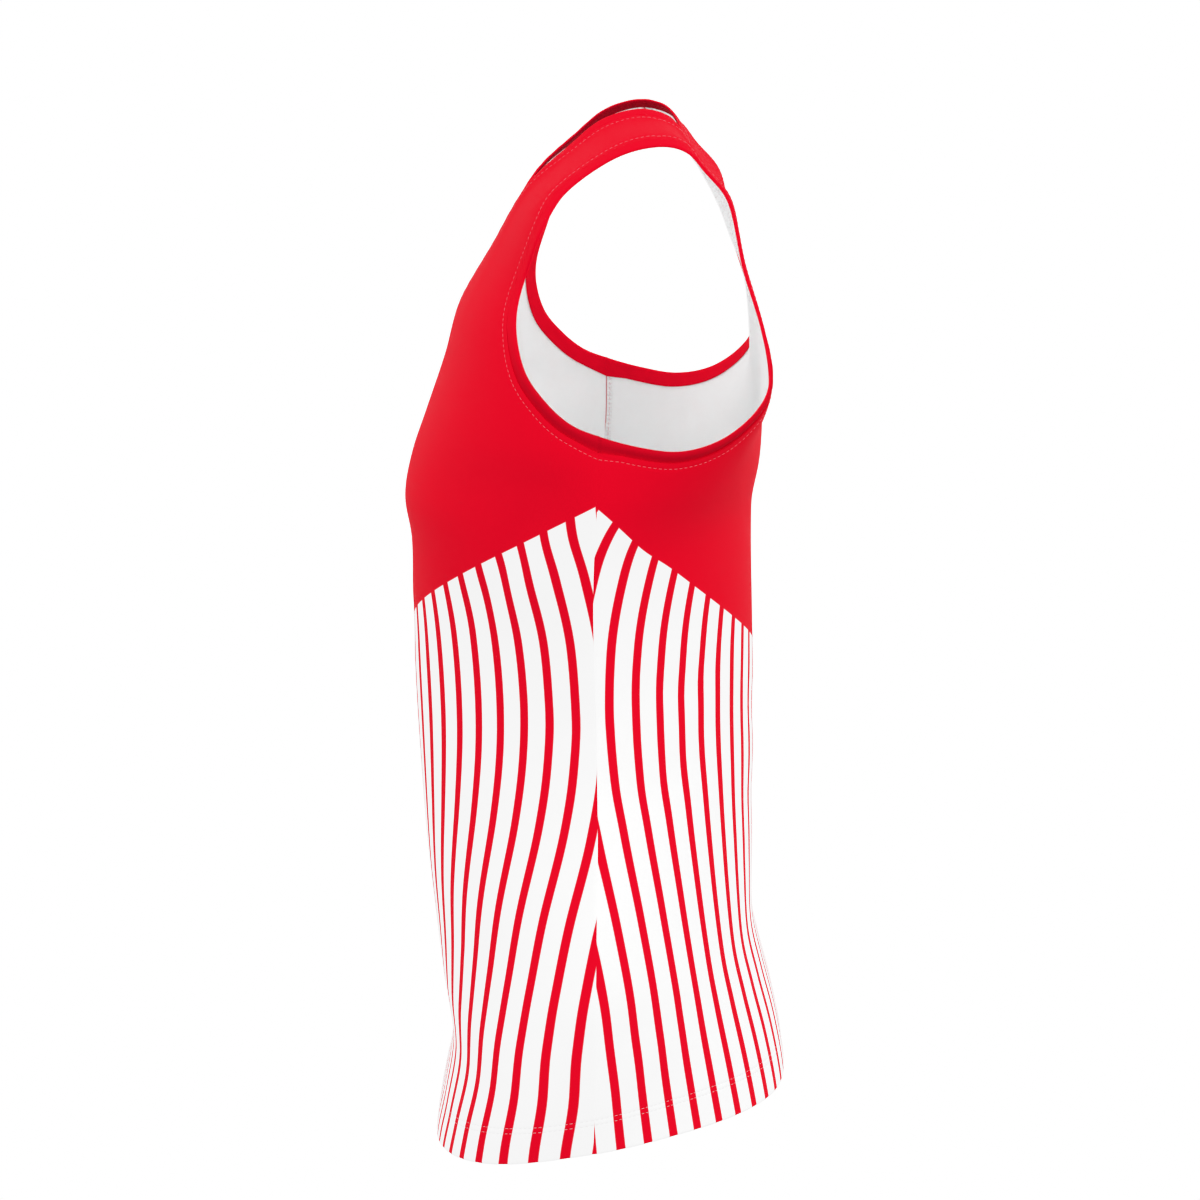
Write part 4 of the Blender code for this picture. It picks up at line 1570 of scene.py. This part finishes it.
@dataclass(frozen=True)
class Jersey:
    """The dressed jersey: two panels, three bindings and all the sewing that shows."""

    drape: Drape
    colours: KnitColours = KnitColours()
    band_width: float = 0.0070
    seam_gap: float = 0.0003
    binding_shows: float = 0.010  # how wide a binding is laid flat, as far as it shows
    panel_cuts: tuple = (("front", (0.496, 0.665), 0.252), ("back", (0.484, 0.622), 0.246))
    allowance_lie: float = 0.0022  # from a side seam to the middle of its allowance
    allowance_depth: float = 0.00165  # under the cloth's outer face
    allowance_clear: float = 0.003  # from a binding to an allowance's end
    shoulder_lie: float = 0.13  # from the shoulder line to its allowance, in rows
    overlock_depth: float = 0.00195
    cover_depth: float = 0.00235
    hem_rows: tuple[float, float] = (0.0194, 0.0226)
    front_yoke: tuple = (-0.2162, -0.585, 0.4127)
    back_yoke: tuple = (-0.2190, -0.829, 1.3075)
    back_yoke_waves: tuple = ((0.0, 0.012, 0.0012), (0.030, 0.014, -0.0022))

    def openings(self) -> tuple[Opening, ...]:
        """The neck and the two armholes. The neck's binding has a darker red painted on its inner layer as
        painted shade, and the armholes' bindings a lighter red as painted light.
        """
        arms = (Opening(Edge.ARMHOLE, hand, 0.46, 0.0102, 1.0, 260, self.colours.red_inside_painted_light) for hand in Hand)
        return (Opening(Edge.NECK, None, 0.58, 0.0084, 0.0, 300, self.colours.red_shaded), *arms)

    def edge_ring(self, opening: Opening, width: float) -> Line:
        """Draws the closed line at a distance from an opening's free edge.

        Args:
            opening: The opening.
            width: The distance.

        Returns:
            Its points and their outward vectors.
        """
        lines = {side: self.drape.loft.line(opening.edge, side, width) for side in Side}
        if opening.hand:
            ring = self.drape.ring(lines, opening.hand)[:-1]
        else:
            left, right = (self.drape.ring(lines, half) for half in Hand)
            ring = np.vstack([left, right[::-1][1:-1]])
        return ring[:, :3], ring[:, 3:]

    def hem_ring(self, up: float) -> Line:
        """Draws the closed line round the jersey at a height over the hem's edge.

        Args:
            up: The height.

        Returns:
            Its points and their outward vectors.
        """
        r = np.linspace(0, 1, 140)
        parts = []
        for side, hand, way in ((Side.FRONT, Hand.LEFT, 1), (Side.BACK, Hand.LEFT, -1),
                                (Side.BACK, Hand.RIGHT, 1), (Side.FRONT, Hand.RIGHT, -1)):
            points, out = self.drape.lay(side, hand, self.drape.loft.hem_t(side, r, up), r)
            parts.append(np.hstack([points, out])[::way][:-1])
        line = np.vstack(parts)
        return line[:, :3], line[:, 3:]

    def build_panels(self) -> dict[str, bpy.types.Object]:
        """Makes the front and the back.

        Returns:
            The pieces by their panels' names.
        """
        front = Panel("front", Side.FRONT, self.drape, StripedKnit(phase=0.0, pitch=0.01841),
                      self.front_yoke, (), neck_knee=0.36, arm_knee=0.42)
        back = Panel("back", Side.BACK, self.drape, StripedKnit(phase=0.5),
                     self.back_yoke, self.back_yoke_waves, neck_knee=0.62, arm_knee=0.44)
        return {panel.name: panel.build() for panel in (front, back)}

    def build_binding(self, opening: Opening) -> bpy.types.Object:
        """Makes one opening's binding.

        Args:
            opening: The opening.

        Returns:
            The dressed piece.
        """
        reaches = {"free": 0.0, "sewn": self.band_width + self.seam_gap, "facing": opening.facing}
        rings = {key: self.edge_ring(opening, reach) for key, reach in reaches.items()}
        return Binding(
            opening.piece("binding"), rings, BindingKnit(opening.inside), opening.piece("band_knit"),
            opening.piece("band"), opening.roll_and_painted_shade, opening.stations,
        ).build()

    def build_sewing(self) -> None:
        """Makes the topstitching, the hem's double row and the seams inside."""
        pale, white = SewingThread(self.colours.thread_pale), SewingThread(self.colours.thread_white)
        for opening in self.openings():
            ring = self.edge_ring(opening, TOPSTITCH[opening.edge])
            Stitching(opening.piece("topstitching"), *ring, pale).build()
        for up, word in zip(self.hem_rows, ("lower", "upper")):
            Stitching(f"hem_stitching_{word}", *self.hem_ring(up), white).build()
        points, out = self.hem_ring(sum(self.hem_rows) / 2)
        Stitching("hem_cover_threads", points - out * self.cover_depth, -out, white, pitch=0.0016, gap=0.0001,
                  lean=0.0017, radius=0.00016, sink=0.0001).build()
        for hand in Hand:
            self.build_side_seam(hand)
            self.build_shoulder_seam(hand)

    def build_side_seam(self, hand: Hand) -> None:
        """Makes one side seam's allowance, flat on the back's inside, and the overlock stitches on it.

        Args:
            hand: The half.
        """
        loft, word = self.drape.loft, hand.name.lower()
        top = loft.line(Edge.ARMHOLE, Side.BACK, self.band_width + self.allowance_clear)[0][0]
        bottom = loft.hem_t(Side.BACK, np.ones(1), Panel.hem_turn + 0.002)[0]
        t = np.linspace(float(bottom), top, 160)
        r = 1 - self.allowance_lie / loft.half_girth(Side.BACK, t)
        points, out = self.drape.lay(Side.BACK, hand, t, r)
        SeamAllowance(f"side_seam_allowance_{word}", points - out * self.allowance_depth, out).build()
        pink = SewingThread(self.colours.thread_pink)
        Stitching(f"side_seam_overlock_{word}", points - out * self.overlock_depth, -out, pink,
                  pitch=0.0034, gap=0.0012, lean=0.0002, radius=0.00010, closed=False).build()

    def build_shoulder_seam(self, hand: Hand) -> None:
        """Makes one shoulder seam's allowance, under the strap.

        Args:
            hand: The half.
        """
        loft, end = self.drape.loft, self.band_width + self.allowance_clear
        r = np.linspace(*(loft.line(edge, Side.BACK, end)[1][-1] for edge in Edge), 60)
        t = np.full_like(r, loft.top(Side.BACK) - self.shoulder_lie)
        points, out = self.drape.lay(Side.BACK, hand, t, r)
        name = f"shoulder_seam_allowance_{hand.name.lower()}"
        SeamAllowance(name, points - out * self.allowance_depth, out).build()

    def build(self) -> None:
        panels = self.build_panels()
        bindings = [(opening, self.build_binding(opening)) for opening in self.openings()]
        self.build_sewing()


# ---------------------------------------------------------------- studio


@dataclass(frozen=True)
class Softbox:
    """A square area light that looks at a point."""

    name: str
    place: tuple[float, float, float]
    size: float
    power: float
    target: tuple[float, float, float] = (0.0, 0.0, -0.30)
    colour: Colour = (1.0, 1.0, 1.0)

    def build(self) -> None:
        """Makes the light."""
        light = bpy.data.lights.new(self.name, "AREA")
        light.size, light.energy, light.color = self.size, self.power, self.colour
        obj = bpy.data.objects.new(self.name, light)
        obj.location = self.place
        aim = Vector(self.target) - Vector(self.place)
        obj.rotation_euler = aim.to_track_quat("-Z", "Y").to_euler()
        bpy.context.scene.collection.objects.link(obj)


@dataclass(frozen=True)
class Studio:
    """Pale floor, white surroundings, soft lights and the camera."""

    world: float = 1.0
    # the curve of the picture's tones, as places and levels
    tone: tuple = ((0.43, 0.53), (0.55, 0.72), (0.60, 0.795), (0.66, 0.848), (0.75, 0.885), (0.92, 0.945))
    floor_level: float = -2.60
    floor_radius: float = 4.1
    floor_sides: int = 96
    camera_place: tuple[float, float, float] = (1.7998, -0.0014, 0.067)
    camera_look: tuple[float, float, float] = (-0.9791, -0.01555, -0.2028)
    camera_lens: float = 88.59
    lights: tuple[Softbox, ...] = (
        Softbox("key_softbox", (1.44, 0.92, 1.66), 1.6, 15.0),
    )

    def build(self) -> None:
        """Makes the studio and sets how its colours are shown."""
        scene = bpy.context.scene
        self.set_tone(scene.view_settings)
        world = bpy.data.worlds.new("studio_surroundings")
        world.use_nodes = True
        background = world.node_tree.nodes["Background"]
        background.inputs["Color"].default_value = (1.0, 1.0, 1.0, 1.0)
        background.inputs["Strength"].default_value = self.world
        scene.world = world
        self.build_floor()
        for light in self.lights:
            light.build()
        lens = bpy.data.cameras.new("camera")
        lens.lens, lens.sensor_width, lens.clip_end = self.camera_lens, 36.0, 50.0
        camera = bpy.data.objects.new("camera", lens)
        camera.location = self.camera_place
        camera.rotation_euler = Vector(self.camera_look).to_track_quat("-Z", "Y").to_euler()
        scene.collection.objects.link(camera)
        scene.camera = camera

    def set_tone(self, view: bpy.types.ColorManagedViewSettings) -> None:
        """Shows the colours through the soft shoulder of a print, so that bright cloth keeps its tones.

        Args:
            view: The scene's view settings.
        """
        view.view_transform = "Standard"
        view.use_curve_mapping = True
        for place, level in self.tone:
            view.curve_mapping.curves[3].points.new(place, level)
        view.curve_mapping.update()

    def build_floor(self) -> None:
        """Makes the floor, well below the jersey, with a rounded rim."""
        sides = self.floor_sides
        turns = np.linspace(0, 2 * np.pi, sides + 1)[:-1]
        profile = ((0.6, 0.0), (0.97, 0.0), (0.99, -0.004), (1.0, -0.02), (1.0, -0.05))
        rings = [
            np.stack([np.cos(turns) * self.floor_radius * a, np.sin(turns) * self.floor_radius * a,
                      np.full_like(turns, self.floor_level + drop)], axis=1)
            for a, drop in profile
        ]
        index = np.arange(len(profile) * sides).reshape(len(profile), sides)
        index = np.hstack([index, index[:, :1]])
        faces = grid_quads(index, True).tolist()
        faces += [index[0, :-1].tolist(), index[-1, :-1][::-1].tolist()]
        floor = build_mesh("studio_floor", np.vstack(rings), faces, {})
        floor.data.materials.append(StudioFloor().material("studio_floor"))


def main() -> None:
    """Loads the frame and dresses it, logging each piece's face count."""
    logging.basicConfig(level=logging.INFO, format="%(name)s: %(message)s")
    for obj in list(bpy.data.objects):
        bpy.data.objects.remove(obj, do_unlink=True)
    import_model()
    Studio().build()
    drape = Drape(Loft(), CREASES)
    Jersey(drape).build()


if __name__ == "__main__":
    main()
